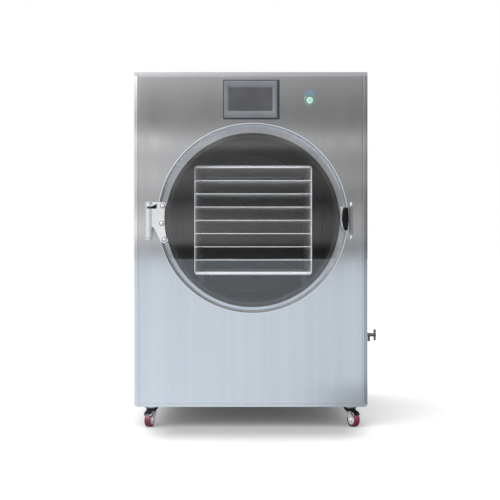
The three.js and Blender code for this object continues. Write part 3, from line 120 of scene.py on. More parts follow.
def stacked(loops, ring=False):
    """Loops of as many points each, joined in turn; capped at both ends, or closed on itself."""
    count = len(loops[0])
    shape = Shape([point for loop in loops for point in loop])
    steps = list(zip(range(len(loops)), range(1, len(loops))))
    if ring:
        steps.append((len(loops) - 1, 0))
    for near, far in steps:
        for i in range(count):
            j = (i + 1) % count
            behind, ahead = near * count, far * count
            shape.faces.append([behind + i, behind + j, ahead + j, ahead + i])
    if not ring:
        last = (len(loops) - 1) * count
        shape.faces.append(list(range(count))[::-1])
        shape.faces.append([last + i for i in range(count)])
    return shape


def at_depth(outline, y):
    return [(x, y, z) for x, z in outline]


def slab(outline, y0, y1):
    """An outline in X and Z, given depth from y0 to y1."""
    return stacked([at_depth(outline, y0), at_depth(outline, y1)])


def slab_flat(outline, z0, z1):
    """An outline in X and Y, given height from z0 to z1."""
    return stacked([[(x, y, z) for x, y in outline] for z in (z0, z1)])


def block(low, high):
    (x0, y0, z0), (x1, y1, z1) = low, high
    return slab([(x0, z0), (x1, z0), (x1, z1), (x0, z1)], y0, y1)


def arc(cx, cz, radius, start, end, steps):
    angles = [radians(start + (end - start) * i / steps) for i in range(steps + 1)]
    return [(cx + radius * cos(a), cz + radius * sin(a)) for a in angles]


def rounded(outline, radius, steps=5):
    """An outline with its corners rounded."""
    made = []
    for i, corner in enumerate(outline):
        here = Vector(corner)
        before = Vector(outline[i - 1]) - here
        after = Vector(outline[(i + 1) % len(outline)]) - here
        reach = min(radius, 0.48 * before.length, 0.48 * after.length)
        start, end = here + before.normalized() * reach, here + after.normalized() * reach
        for k in range(steps + 1):
            t = k / steps
            point = start * (1 - t) ** 2 + here * 2 * t * (1 - t) + end * t ** 2
            made.append((point.x, point.y))
    return made


def oblong(x0, x1, z0, z1, radius, steps=6):
    return [
        *arc(x1 - radius, z1 - radius, radius, 0, 90, steps),
        *arc(x0 + radius, z1 - radius, radius, 90, 180, steps),
        *arc(x0 + radius, z0 + radius, radius, 180, 270, steps),
        *arc(x1 - radius, z0 + radius, radius, 270, 360, steps),
    ]


def flowing(outline, steps=5):
    """A smooth closed curve through the corners of an outline."""
    made, count = [], len(outline)
    for i in range(count):
        a, b, c, d = (Vector(outline[(i + k) % count]) for k in (-1, 0, 1, 2))
        for k in range(steps):
            t = k / steps
            point = 0.5 * (2 * b + (c - a) * t + (2 * a - 5 * b + 4 * c - d) * t ** 2
                           + (3 * b - a - 3 * c + d) * t ** 3)
            made.append((point.x, point.y))
    return made


def scaled(outline, about, share_x, share_z):
    return [(about[0] + (x - about[0]) * share_x, about[1] + (z - about[1]) * share_z)
            for x, z in outline]


# ---- Shader nodes ----

def node(tree, kind, feeds=None, **settings):
    """A node with its settings; feeds gives each input a value or another node's socket."""
    made = tree.nodes.new("ShaderNode" + kind)
    for name, value in settings.items():
        setattr(made, name, value)
    for socket, value in (feeds or {}).items():
        if isinstance(value, bpy.types.NodeSocket):
            tree.links.new(value, made.inputs[socket])
        else:
            made.inputs[socket].default_value = value
    return made


def maths(tree, operation, *values, clamp=False):
    made = node(tree, "Math", dict(enumerate(values)), operation=operation, use_clamp=clamp)
    return made.outputs[0]


def times(tree, first, second):
    return maths(tree, "MULTIPLY", first, second)


def blend_colours(tree, share, first, second):
    made = node(tree, "Mix", {0: share, 6: first, 7: second}, data_type="RGBA")
    return made.outputs[2]


def noise(tree, vector, scale, detail=2.0, roughness=0.5):
    feeds = {"Vector": vector, "Scale": scale, "Detail": detail, "Roughness": roughness}
    return node(tree, "TexNoise", feeds).outputs[0]


def remap(tree, value, low, high, to_low=0.0, to_high=1.0, soft=False):
    kind = "SMOOTHSTEP" if soft else "LINEAR"
    feeds = {0: value, 1: low, 2: high, 3: to_low, 4: to_high}
    return node(tree, "MapRange", feeds, interpolation_type=kind).outputs[0]


def effect(name, inputs, outputs, build):
    """A node group: build gets its tree and its given sockets, and returns what goes out."""
    tree = bpy.data.node_groups.new(name, "ShaderNodeTree")
    for label, kind, value in inputs:
        socket = tree.interface.new_socket(label, in_out="INPUT", socket_type="NodeSocket" + kind)
        if value is not None:
            socket.default_value = value
    for label, kind in outputs:
        tree.interface.new_socket(label, in_out="OUTPUT", socket_type="NodeSocket" + kind)
    given = tree.nodes.new("NodeGroupInput").outputs
    out = tree.nodes.new("NodeGroupOutput")
    for label, socket in build(tree, given).items():
        tree.links.new(socket, out.inputs[label])
    return tree


def build_brushed_grain(tree, given):
    fine = maths(tree, "DIVIDE", given["Pitch"], given["Stretch"])
    scale = node(tree, "CombineXYZ", {0: given["Pitch"], 1: given["Pitch"], 2: fine}).outputs[0]
    stretched = node(tree, "VectorMath", {0: given["Vector"], 1: scale},
                     operation="MULTIPLY").outputs[0]
    hair = noise(tree, stretched, 1.0, 3.0, 0.65)
    streak = noise(tree, stretched, 0.03, 4.0, 0.6)
    hair_part = times(tree, hair, 0.4)
    return {"Shade": maths(tree, "MULTIPLY_ADD", streak, 0.6, hair_part), "Height": hair}


def build_sheet_waves(tree, given):
    scale = maths(tree, "DIVIDE", 1.0, given["Size"])
    return {"Height": noise(tree, given["Vector"], scale, 1.0, 0.4)}


def build_handling_marks(tree, given):
    scale = maths(tree, "DIVIDE", 1.0, given["Size"])
    patches = noise(tree, given["Vector"], scale, 5.0, 0.6)
    low = maths(tree, "SUBTRACT", 1.0, given["Coverage"])
    high = maths(tree, "ADD", low, 0.3)
    return {"Mask": remap(tree, patches, low, high, soft=True)}


def build_settled_dust(tree, given):
    up = node(tree, "SeparateXYZ", {0: node(tree, "NewGeometry").outputs["Normal"]}).outputs[2]
    facing_up = maths(tree, "POWER", maths(tree, "MAXIMUM", up, 0.0), 3.0)
    patches = noise(tree, given["Vector"], 28.0, 4.0, 0.7)
    share = remap(tree, patches, 0.3, 0.75, 0.35, 1.0)
    return {"Mask": times(tree, times(tree, facing_up, share), given["Amount"])}


def build_edge_wear(tree, given):
    flat = node(tree, "NewGeometry").outputs["Normal"]
    round_over = node(tree, "Bevel", {"Radius": given["Width"]}, samples=4).outputs[0]
    same = node(tree, "VectorMath", {0: flat, 1: round_over},
                operation="DOT_PRODUCT").outputs["Value"]
    edge = remap(tree, same, 0.995, 0.9)
    patches = noise(tree, given["Vector"], 90.0, 4.0, 0.7)
    broken = remap(tree, patches, 0.42, 0.62)
    return {"Mask": times(tree, times(tree, edge, broken), given["Amount"])}


def build_moulded_texture(tree, given):
    scale = maths(tree, "DIVIDE", 1.0, given["Size"])
    cells = node(tree, "TexVoronoi", {"Vector": given["Vector"], "Scale": scale},
                 feature="SMOOTH_F1").outputs["Distance"]
    grit = noise(tree, given["Vector"], scale, 3.0, 0.6)
    return {"Height": maths(tree, "ADD", times(tree, cells, 0.6), grit)}


def build_colour_drift(tree, given):
    scale = maths(tree, "DIVIDE", 1.0, given["Size"])
    patches = remap(tree, noise(tree, given["Vector"], scale, 3.0, 0.55), 0.3, 0.7, soft=True)
    return {"Color": blend_colours(tree, patches, given["First"], given["Second"])}


VECTOR = ("Vector", "Vector", None)
BRUSHED_GRAIN = effect(
    "Brushed grain", [VECTOR, ("Pitch", "Float", 900.0), ("Stretch", "Float", 60.0)],
    [("Shade", "Float"), ("Height", "Float")], build_brushed_grain)
SHEET_WAVES = effect(
    "Sheet waves", [VECTOR, ("Size", "Float", 0.4)], [("Height", "Float")], build_sheet_waves)
HANDLING_MARKS = effect(
    "Handling marks", [VECTOR, ("Size", "Float", 0.08), ("Coverage", "Float", 0.4)],
    [("Mask", "Float")], build_handling_marks)
SETTLED_DUST = effect(
    "Settled dust", [VECTOR, ("Amount", "Float", 0.5)], [("Mask", "Float")], build_settled_dust)
EDGE_WEAR = effect(
    "Edge wear", [VECTOR, ("Width", "Float", 0.001), ("Amount", "Float", 0.5)],
    [("Mask", "Float")], build_edge_wear)
MOULDED_TEXTURE = effect(
    "Moulded texture", [VECTOR, ("Size", "Float", 0.001)], [("Height", "Float")],
    build_moulded_texture)
COLOUR_DRIFT = effect(
    "Colour drift",
    [VECTOR, ("Size", "Float", 0.05), ("First", "Color", None), ("Second", "Color", None)],
    [("Color", "Color")], build_colour_drift)


def tone(red, green, blue):
    """A colour from display numbers, 0 to 255."""
    parts = [c / 255 for c in (red, green, blue)]
    return (*(c / 12.92 if c <= 0.04045 else ((c + 0.055) / 1.055) ** 2.4 for c in parts), 1.0)


def blank(name):
    """A new material: its tree, its Principled shader, and the piece's own coordinates."""
    made = bpy.data.materials.new(name)
    made.use_nodes = True
    tree = made.node_tree
    tree.nodes.clear()
    out = tree.nodes.new("ShaderNodeOutputMaterial")
    shader = tree.nodes.new("ShaderNodeBsdfPrincipled")
    tree.links.new(shader.outputs[0], out.inputs["Surface"])
    place = node(tree, "TexCoord").outputs["Object"]
    return made, tree, shader, place


def use(tree, group, feeds):
    """The outputs of an effect placed in a material with its own values."""
    made = tree.nodes.new("ShaderNodeGroup")
    made.node_tree = group
    for label, value in feeds.items():
        if isinstance(value, bpy.types.NodeSocket):
            tree.links.new(value, made.inputs[label])
        else:
            made.inputs[label].default_value = value
    return made.outputs


def show(tree, surface):
    """Puts a mix of shaders on the material's output."""
    out = next(n for n in tree.nodes if n.bl_idname == "ShaderNodeOutputMaterial")
    tree.links.new(surface, out.inputs["Surface"])


def bumped(tree, shader, heights):
    """Chains one Bump node for each (height, strength, distance in metres)."""
    normal = None
    for height, strength, distance in heights:
        feeds = {"Height": height, "Strength": strength, "Distance": distance}
        if normal:
            feeds["Normal"] = normal
        normal = node(tree, "Bump", feeds).outputs[0]
    tree.links.new(normal, shader.inputs["Normal"])


DUST = tone(176, 172, 164)


def metal(name, light, dark, roughness, pitch=900.0, stretch=60.0, grain="Z", tangent=None,
          anisotropic=0.0, spread=0.06, waves=0.0, scratch=0.02, marks=0.05, dust=0.25,
          metallic=1.0, foot=None):
    """Bare metal: grain along an axis, slow waves, handling marks and dust on top."""
    made, tree, shader, place = blank(name)
    own_place = place
    if grain != "Z":
        parts = node(tree, "SeparateXYZ", {0: place}).outputs
        order = {"X": (2, 1, 0), "Y": (0, 2, 1)}[grain]
        place = node(tree, "CombineXYZ", {i: parts[k] for i, k in enumerate(order)}).outputs[0]
    brushed = use(tree, BRUSHED_GRAIN, {"Vector": place, "Pitch": pitch, "Stretch": stretch})
    touched = use(tree, HANDLING_MARKS, {"Vector": place})["Mask"]
    dusty = use(tree, SETTLED_DUST, {"Vector": place, "Amount": dust})["Mask"]
    shade = remap(tree, brushed["Shade"], 0.35, 0.65)
    colour = blend_colours(tree, shade, dark, light)
    # foot, where given, darkens the colour below about 0.8 m: painted shade low down
    if foot:
        height = node(tree, "SeparateXYZ", {0: own_place}).outputs[2]
        colour = blend_colours(tree, remap(tree, height, 0.76, 0.87), foot, colour)
    tree.links.new(blend_colours(tree, dusty, colour, DUST), shader.inputs["Base Color"])
    rough = maths(tree, "MULTIPLY_ADD", shade, -spread, roughness + spread / 2)
    rough = maths(tree, "MULTIPLY_ADD", touched, marks, rough)
    rough = maths(tree, "MULTIPLY_ADD", dusty, 0.3, rough)
    tree.links.new(rough, shader.inputs["Roughness"])
    shader.inputs["Metallic"].default_value = metallic
    heights = [(brushed["Height"], scratch, 0.0003)]
    if waves:
        heights.append((use(tree, SHEET_WAVES, {"Vector": place})["Height"], waves, 0.01))
    bumped(tree, shader, heights)
    if tangent:
        shader.inputs["Anisotropic"].default_value = anisotropic
        way = node(tree, "Tangent", direction_type="RADIAL", axis=tangent)
        tree.links.new(way.outputs[0], shader.inputs["Tangent"])
    return made


def moulded(name, colour, worn, roughness, texture=0.0008, bump=0.08, wear=0.4, shine=0.5,
            drift=None):
    """Plastic, rubber, foam or paint: moulded texture, worn edges, dust and handling marks."""
    made, tree, shader, place = blank(name)
    first = drift or tuple(c * 0.82 for c in colour[:3]) + (1.0,)
    body = use(tree, COLOUR_DRIFT,
               {"Vector": place, "Size": 0.06, "First": first, "Second": colour})
    rubbed = use(tree, EDGE_WEAR, {"Vector": place, "Amount": wear})["Mask"]
    dusty = use(tree, SETTLED_DUST, {"Vector": place, "Amount": 0.35})["Mask"]
    touched = use(tree, HANDLING_MARKS, {"Vector": place, "Size": 0.03})["Mask"]
    surface = blend_colours(tree, rubbed, body["Color"], worn)
    tree.links.new(blend_colours(tree, dusty, surface, DUST), shader.inputs["Base Color"])
    rough = maths(tree, "MULTIPLY_ADD", touched, 0.1, roughness - 0.04)
    rough = maths(tree, "MULTIPLY_ADD", dusty, 0.3, rough, clamp=True)
    tree.links.new(rough, shader.inputs["Roughness"])
    shader.inputs["Specular IOR Level"].default_value = shine
    height = use(tree, MOULDED_TEXTURE, {"Vector": place, "Size": texture})["Height"]
    bumped(tree, shader, [(height, bump, 0.0004)])
    return made


def clear_acrylic():
    """Polished cast acrylic. Lamps shine through it."""
    made, tree, shader, place = blank("Clear cast acrylic")
    tint = use(tree, COLOUR_DRIFT, {"Vector": place, "Size": 0.5, "First": tone(244, 245, 247),
                                    "Second": tone(240, 242, 245)})
    tree.links.new(tint["Color"], shader.inputs["Base Color"])
    touched = use(tree, HANDLING_MARKS, {"Vector": place, "Size": 0.1, "Coverage": 0.42})["Mask"]
    tree.links.new(times(tree, touched, 0.03), shader.inputs["Roughness"])
    shader.inputs["Transmission Weight"].default_value = 1.0
    shader.inputs["IOR"].default_value = 1.6
    ripple = use(tree, SHEET_WAVES, {"Vector": place, "Size": 0.12})["Height"]
    bumped(tree, shader, [(ripple, 0.02, 0.004)])
    through = node(tree, "BsdfTransparent", {"Color": (0.88, 0.9, 0.91, 1.0)}).outputs[0]
    shadow = node(tree, "LightPath").outputs["Is Shadow Ray"]
    mixed = node(tree, "MixShader", {0: shadow, 1: shader.outputs[0], 2: through}).outputs[0]
    show(tree, mixed)
    return made


def lit(name, colour, rim, strength):
    """A lamp behind clear plastic, a little uneven across."""
    made, tree, shader, place = blank(name)
    drift = use(tree, COLOUR_DRIFT, {"Vector": place, "Size": 0.006, "First": colour, "Second":
                                     rim})
    unlit = blend_colours(tree, 0.8, drift["Color"], (0.02, 0.03, 0.03, 1.0))
    tree.links.new(unlit, shader.inputs["Base Color"])
    tree.links.new(drift["Color"], shader.inputs["Emission Color"])
    shader.inputs["Emission Strength"].default_value = strength
    shader.inputs["Roughness"].default_value = 0.3
    height = use(tree, MOULDED_TEXTURE, {"Vector": place, "Size": 0.0015})["Height"]
    bumped(tree, shader, [(height, 0.05, 0.0003)])
    return made


ROLLED = {"tangent": "Z", "anisotropic": 0.95, "waves": 0.12, "spread": 0.04}
TURNED = {"pitch": 500.0, "stretch": 2.0, "scratch": 0.004}
CAST = {"pitch": 420.0, "stretch": 1.6, "scratch": 0.12, "marks": 0.16}
PLATED = {"pitch": 160.0, "stretch": 1.0, "scratch": 0.06, "marks": 0.14}
NICKEL = {"pitch": 200.0, "stretch": 2.0, "marks": 0.12}
STEEL = (205, 207, 209), (199, 201, 204)
# Finish, material, slot, maker, two tones, roughness or glow, and what sets it apart
FINISHES = [
    ("cabinet sheet", "Brushed cabinet sheet", "steel", metal, *STEEL, 0.15, ROLLED),
    # The hem sheet is the cabinet sheet made darker low down: painted shade
    ("hem sheet", "Darkened hem sheet", "steel", metal,
     *STEEL, 0.15, {**ROLLED, "foot": tone(170, 171, 173)}),
    ("top sheet", "Brushed top sheet", "steel", metal,
     *STEEL, 0.3, {"grain": "X", "waves": 0.12, "dust": 0.5}),
    # The chamber steel is far darker than the cabinet steel: painted shade inside the chamber
    ("chamber steel", "Mill finish chamber steel", "steel", metal,
     (64, 65, 68), (50, 51, 54), 0.45,
     {"pitch": 260.0, "stretch": 4.0, "grain": "Y", "marks": 0.12}),
    ("flange steel", "Turned flange steel", "steel", metal,
     (214, 215, 218), (205, 206, 209), 0.15, {**TURNED, "tangent": "Z", "anisotropic": 0.9}),
    # Green tinted steel round the lit button: painted glow of its lamp on the sheet
    ("collar steel", "Brushed collar steel", "steel", metal,
     (178, 212, 196), (170, 204, 188), 0.2, {"tangent": "Z", "anisotropic": 0.8}),
    ("ring steel", "Satin ring steel", "steel", metal,
     (176, 178, 181), (164, 166, 169), 0.2, {**TURNED, "tangent": "Z", "anisotropic": 0.8}),
    # The lip is a lighter, half-diffuse copy of the ring steel: painted highlight along the bead's
    # edge
    ("lip steel", "Polished lip steel", "steel", metal,
     (220, 221, 223), (204, 205, 207), 0.3, {**TURNED, "metallic": 0.5}),
    ("polished steel", "Polished cast steel", "bright_steel", metal,
     (222, 224, 226), (200, 202, 204), 0.18, {**CAST, "metallic": 0.7}),
    ("cast steel", "Satin cast steel", "bright_steel", metal,
     (176, 178, 181), (160, 162, 165), 0.4, {**CAST, "metallic": 0.45}),
    ("rack steel", "Satin rack steel", "bright_steel", metal,
     (252, 252, 253), (242, 243, 244), 0.34,
     {"pitch": 800.0, "stretch": 30.0, "grain": "X", "metallic": 0.25}),
    ("copper tube", "Drawn copper tube", "copper", metal,
     (206, 140, 104), (168, 100, 70), 0.3, {"pitch": 300.0, "stretch": 6.0, "marks": 0.2}),
    ("zinc plate", "Bright zinc plate", "zinc", metal,
     (214, 214, 210), (184, 185, 184), 0.22, PLATED),
    ("bright zinc", "Bright caster zinc", "zinc", metal,
     (236, 237, 238), (206, 208, 210), 0.3, {**PLATED, "metallic": 0.5}),
    ("valve plate", "Dark nickel valve", "zinc", metal,
     (124, 128, 131), (92, 96, 100), 0.3, NICKEL),
    # The fork is a dark copy of the caster zinc: painted shade
    ("fork plate", "Dark nickel fork", "zinc", metal, (96, 98, 104), (60, 62, 68), 0.2, NICKEL),
    ("frame paint", "Grey frame paint", "frame_steel", moulded,
     (110, 112, 114), (160, 160, 160), 0.42, {}),
    ("black paint", "Black stove enamel", "dark_paint", moulded,
     (34, 34, 36), (96, 92, 88), 0.38, {}),
    ("jacket foam", "Closed cell foam", "foam", moulded,
     (44, 44, 46), (60, 60, 60), 0.9, {"texture": 0.003, "bump": 0.5}),
    ("door seal", "Black silicone seal", "gasket", moulded,
     (22, 23, 25), (60, 60, 62), 0.4, {"bump": 0.12}),
    ("paddle plastic", "Black handle plastic", "black_plastic", moulded,
     (4, 6, 7), (40, 44, 48), 0.45, {"shine": 0.15}),
    # The case is dark in its own colour and darker still for the shadow line round the bezel:
    # partly painted shade
    ("case plastic", "Dark case plastic", "dark_plastic", moulded,
     (36, 38, 42), (70, 72, 76), 0.45, {}),
    ("bezel plastic", "Blue grey bezel plastic", "bezel_plastic", moulded,
     (88, 91, 96), (116, 120, 126), 0.42, {"bump": 0.05}),
    ("screen film", "Dark screen film", "screen", moulded,
     (62, 63, 65), (70, 70, 72), 0.24, {"bump": 0.01, "wear": 0.0, "drift": tone(56, 57, 59)}),
    ("label film", "Blue label film", "bezel_plastic", moulded,
     (80, 103, 118), (110, 130, 142), 0.4, {"bump": 0.02}),
    ("red tread", "Red caster tread", "red_tread", moulded,
     (96, 28, 48), (90, 56, 66), 0.34, {"texture": 0.0012}),
    ("lamp ring", "Lit button ring", "lit_ring", lit, (208, 250, 235), (190, 240, 220), 0.7, {}),
    ("lamp cap", "Lit button cap", "lit_cap", lit, (160, 206, 186), (172, 216, 196), 0.6, {}),
]
FINISH = {key: (make(name, tone(*first), tone(*second), value, **extras), slot)
          for key, name, slot, make, first, second, value, extras in FINISHES}
FINISH["clear door"] = (clear_acrylic(), "acrylic")


# ---- Pieces ----

def soften(made, width, segments=3):
    """Rounds the edges of a piece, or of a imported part, with a Bevel modifier."""
    bevel = made.modifiers.new("Edges", "BEVEL")
    bevel.width = width * MM
    bevel.segments = segments
    bevel.limit_method = "ANGLE"
    bevel.angle_limit = radians(32)
    shading = made.modifiers.new("Shading", "WEIGHTED_NORMAL")
    shading.keep_sharp = True


def face_point(place):
    """The same place across and up, with no depth."""
    return Vector((place.x, 0, place.z))


def piece(name, shape, finish, replaces=(), edge=0.0, crease=36, body="cabinet"):
    """Makes a named piece from a shape, rides it on a body and gives it a finish."""
    mesh = bpy.data.meshes.new(name)
    mesh.from_pydata([point * MM for point in shape.points], [], shape.faces)
    work = bmesh.new()
    work.from_mesh(mesh)
    bmesh.ops.recalc_face_normals(work, faces=work.faces)
    work.to_mesh(mesh)
    work.free()
    mesh.polygons.foreach_set("use_smooth", [True] * len(mesh.polygons))
    made = bpy.data.objects.new(name, mesh)
    scene.collection.objects.link(made)
    if edge:
        soften(made, edge)
    else:
        mesh.set_sharp_from_angle(angle=radians(crease))
    material, slot = FINISH[finish]
    mesh.materials.append(material)
    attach(made, body)
    if replaces:
        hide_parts(*replaces)
    return made


def dress(nodes, finish, edge=0.5):
    """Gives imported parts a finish, joined points and rounded edges."""
    for name in nodes:
        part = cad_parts[name]
        material, _ = FINISH[finish]
        for slot in part.material_slots:
            slot.material = material
        part.data.polygons.foreach_set("use_smooth", [True] * len(part.data.polygons))
        weld = part.modifiers.new("Join points", "WELD")
        weld.merge_threshold = 0.00002
        flat = part.modifiers.new("Flat faces", "DECIMATE")
        flat.decimate_type = "DISSOLVE"
        flat.angle_limit = radians(1.0)
        soften(part, edge, 2)


# Sheet metal of the cabinet

def front_sheet():
    """The front sheet with its round door hole, and the pressed bead round the hole."""
    low, high = ends("front_panel")
    hinge_low, _ = ends("door_disc")
    door = middle("door_disc")
    face = low.y + BEAD_RISE
    hole = (ends("door_disc")[1].x - hinge_low.x) / 2 + HOLE_CLEARANCE
    bead = hole + BEAD_WIDTH
    corners = [atan2(z - door.z, x - door.x) for x in (low.x, high.x) for z in (low.z, high.z)]
    turns = sorted([2 * pi * i / ROUND_DOOR - pi for i in range(ROUND_DOOR)] + corners)

    def circle(radius, y):
        return [(door.x + radius * cos(a), y, door.z + radius * sin(a)) for a in turns]

    def edge(inset, y):
        loop = []
        for a in turns:
            way = Vector((cos(a), sin(a)))
            reach_x = ((high.x if way.x > 0 else low.x) - door.x) / way.x if way.x else inf
            reach_z = ((high.z if way.y > 0 else low.z) - door.z) / way.y if way.y else inf
            point = Vector((door.x, door.z)) + way * min(reach_x, reach_z)
            x = min(max(point.x, low.x + inset), high.x - inset)
            z = min(max(point.y, low.z + inset), high.z - inset)
            loop.append((x, y, z))
        return loop

    sheet = stacked([
        circle(hole + 1, face + SHEET),
        circle(hole + 1, face),
        circle(bead - 1, face),
        circle(bead + 4, face),
        edge(4, face),
        edge(0.6, face),
        edge(0.2, face + 0.15),
        edge(0, face + 0.6),
        edge(0, face + SHEET),
    ], ring=True)
    made = piece("front_sheet", sheet, "cabinet sheet", ["front_panel"])
    made.modifiers.new("Shading", "WEIGHTED_NORMAL").keep_sharp = True
    crest = low.y
    profile = [
        (hole + 0.9, high.y),
        (hole + 0.1, high.y),
        (hole + 0.1, crest + 0.6),
        (hole + RIM - 1.2, crest + 0.1),
        (hole + RIM - 0.8, crest + 0.1),
        (hole + RIM - 0.2, crest + 0.5),
        (hole + RIM, crest + 1.2),
        (hole + RIM, face - 0.1),
        (hole + 0.9, face - 0.1),
    ]
    ring = turned(profile, "Y", face_point(door), ROUND_DOOR)
    piece("door_ring", ring, "ring steel", crease=5)
    outer = hole + RIM
    lip = [(outer - 1.3, crest + 0.3), (outer - 1.2, crest), (outer - 0.3, crest),
           (outer + 0.15, crest + 0.5), (outer + 0.15, crest + 1.6), (outer - 0.4, crest + 1.8)]
    piece("ring_lip", turned(lip, "Y", face_point(door), ROUND_DOOR), "lip steel", crease=40)


def edge_hems():
    """The hem folded forward along the outer front corner of each side sheet."""
    for name, way in (("left", -1), ("right", 1)):
        low, high = ends(f"side_shell_{name}")
        corner = high.x if way > 0 else low.x
        front = low.y - 0.05
        section = [(corner - way * 0.2, front), (corner - way * 0.2, front - 0.1),
                   (corner - way * (HEM - 1), front - HEM_RISE),
                   (corner - way * (HEM - 0.4), front - HEM_RISE + 0.1),
                   (corner - way * HEM, front - HEM_RISE + 0.7), (corner - way * HEM, front)]
        # The right hem takes the sheet with painted shade low down
        piece(f"edge_hem_{name}", slab_flat(section, low.z + 11, high.z),
              "hem sheet" if way > 0 else "cabinet sheet", crease=5)


HEM, HEM_RISE = 13.0, 1.6
SHEET = 2.0
BEAD_RISE = 3.0
BEAD_WIDTH = 6.0
HOLE_CLEARANCE = 4.0
RIM = 4.4


# Vacuum chamber

def chamber():
    low, high = ends("chamber_shell")
    centre = Vector((middle("chamber_shell").x, 0, middle("chamber_shell").z))
    wall, back = 4.0, 6.0
    bore = (high.x - low.x) / 2 - wall
    floor = high.y - back
    corner = 8.0
    curve = [(bore - corner + corner * sin(a), floor - corner + corner * cos(a))
             for a in (radians(15 * i) for i in range(7))]
    inside = [(0, floor), *curve, (bore, low.y + 1), (bore + 1, low.y)]
    outside = [(bore + wall, low.y), (bore + wall, high.y), (0, high.y)]
    piece("chamber_liner", turned(inside + outside, "Y", centre, ROUND_DOOR), "chamber steel",
          ["chamber_shell"])
    for number, y in enumerate((floor - 170, floor - 340), 1):
        weld = [(bore + 0.4, y - 5), (bore - 0.7, y - 3), (bore - 1.1, y), (bore - 0.7, y + 3),
                (bore + 0.4, y + 5)]
        piece(f"chamber_weld_{number}", turned(weld, "Y", centre, ROUND_DOOR), "chamber steel",
              crease=60)
    plate = floor - 24
    baffle = [(0, plate - 2), (88, plate - 2), (90, plate - 1), (90, plate + 0.6), (88, plate + 1),
              (9, plate + 1), (9, floor - 0.2), (0, floor - 0.2)]
    piece("port_baffle", turned(baffle, "Y", centre, ROUND_FITTING), "chamber steel")
    screw = [(0, plate - 6), (4, plate - 5.6), (6, plate - 4), (6.4, plate - 2.2),
             (0, plate - 2.2)]
    piece("baffle_screw", turned(screw, "Y", centre, ROUND_SMALL), "polished steel")


def chamber_mouth():
    """The flange behind the clear door, and the ribbed seal in it."""
    low, high = ends("chamber_flange")
    centre = Vector((middle("chamber_flange").x, 0, middle("chamber_flange").z))
    outer = (high.x - low.x) / 2
    seal_low, seal_high = ends("door_gasket")
    seal_outer = (seal_high.x - seal_low.x) / 2 - 2.4
    seal_inner = seal_outer - 13.6
    step = seal_high.y + 0.3
    flange = [(seal_inner + 4.3, high.y), (seal_inner + 4.3, step), (seal_outer + 0.3, step),
              (seal_outer + 0.3, low.y + 1.2), (seal_outer + 0.7, low.y + 0.85),
              (seal_outer + 1.5, low.y + 0.45), (outer - 1.5, low.y), (outer - 0.4, low.y + 0.4),
              (outer, low.y + 1.5), (outer, high.y)]
    piece("mouth_flange", turned(flange, "Y", centre, ROUND_DOOR), "flange steel",
          ["chamber_flange"], crease=10)
    groove = seal_low.y + 2.6
    ribs = []
    for rib in range(3):
        crest = seal_inner + 2.4 + 4.2 * rib
        ribs += [(crest + 1.9 * cos(a), groove - 2.6 * sin(a))
                 for a in (radians(180 - 22.5 * i) for i in range(9))]
    seal = [(seal_inner, seal_high.y), (seal_inner, groove), *ribs, (seal_outer, groove),
            (seal_outer, seal_high.y)]
    piece("ribbed_seal", turned(seal, "Y", centre, ROUND_DOOR), "door seal",
          ["door_gasket"], crease=60)


# Shelf rack

def rack():
    low, high = ends("rack_frame")
    side, plate, corner, bar = 2.5, 3.0, 12.0, 12.0
    outside = oblong(low.x, high.x, low.z, high.z, corner, 8)
    inside = oblong(low.x + side, high.x - side, low.z + plate, high.z - plate, corner - side, 8)
    tube = stacked([
        at_depth(outside, low.y + 0.6), at_depth(scaled_in(outside, low, high, 0.5), low.y),
        at_depth(scaled_in(inside, low, high, -0.5), low.y), at_depth(inside, low.y + 0.6),
        at_depth(inside, high.y - 0.6), at_depth(scaled_in(inside, low, high, -0.5), high.y),
        at_depth(scaled_in(outside, low, high, 0.5), high.y), at_depth(outside, high.y - 0.6),
    ], ring=True)
    piece("rack_shell", tube, "rack steel", ["rack_frame"])
    x0, x1 = low.x + corner / 2, high.x - corner / 2
    for end, y in (("front", low.y), ("rear", high.y - SHEET)):
        bars = Shape()
        for z0, z1 in ((high.z - bar + 3.5, high.z - 0.6), (low.z + 0.4, low.z + bar)):
            bars.add(slab(oblong(x0, x1, z0, z1, 3, 4), y, y + SHEET))
        piece(f"rack_bars_{end}", bars, "rack steel", edge=0.5)
    for number in range(1, 8):
        shelf(number)
    for rail in ("rack_rail_left", "rack_rail_right"):
        dress([rail], "chamber steel")


def scaled_in(outline, low, high, inset):
    """An outline about the middle of the rack, drawn in by inset on every side."""
    about = ((low.x + high.x) / 2, (low.z + high.z) / 2)
    share_x = 1 - 2 * inset / (high.x - low.x)
    share_z = 1 - 2 * inset / (high.z - low.z)
    return scaled(outline, about, share_x, share_z)


def shelf(number):
    """A shelf folded from sheet: its two sides turn down in a bend."""
    low, high = ends(f"shelf_{number}")
    plate, bend = 3.0, 3.2
    fold = [
        (low.x, low.z), *arc(low.x + bend, high.z - bend, bend, 180, 90, 6),
        *arc(high.x - bend, high.z - bend, bend, 90, 0, 6), (high.x, low.z),
        (high.x - SHEET, low.z), *arc(high.x - bend - 1, high.z - plate - 1, 1.8, 0, 90, 3),
        *arc(low.x + bend + 1, high.z - plate - 1, 1.8, 90, 180, 3), (low.x + SHEET, low.z),
    ]
    piece(f"folded_shelf_{number}", slab(fold, low.y, high.y), "rack steel",
          [f"shelf_{number}"], edge=0.35)


# Door, hinge and latch

def clear_door():
    low, high = ends("door_disc")
    centre = middle("door_disc")
    rim = (high.x - low.x) / 2
    bevel = 1.5
    profile = [
        (0, low.y), (rim - bevel, low.y), (rim - 0.5, low.y + 0.4), (rim, low.y + bevel),
        (rim, high.y - bevel), (rim - 0.5, high.y - 0.4), (rim - bevel, high.y), (0, high.y),
    ]
    piece("clear_disc", turned(profile, "Y", face_point(centre), ROUND_DOOR), "clear door",
          ["door_disc"], crease=10, body="door")


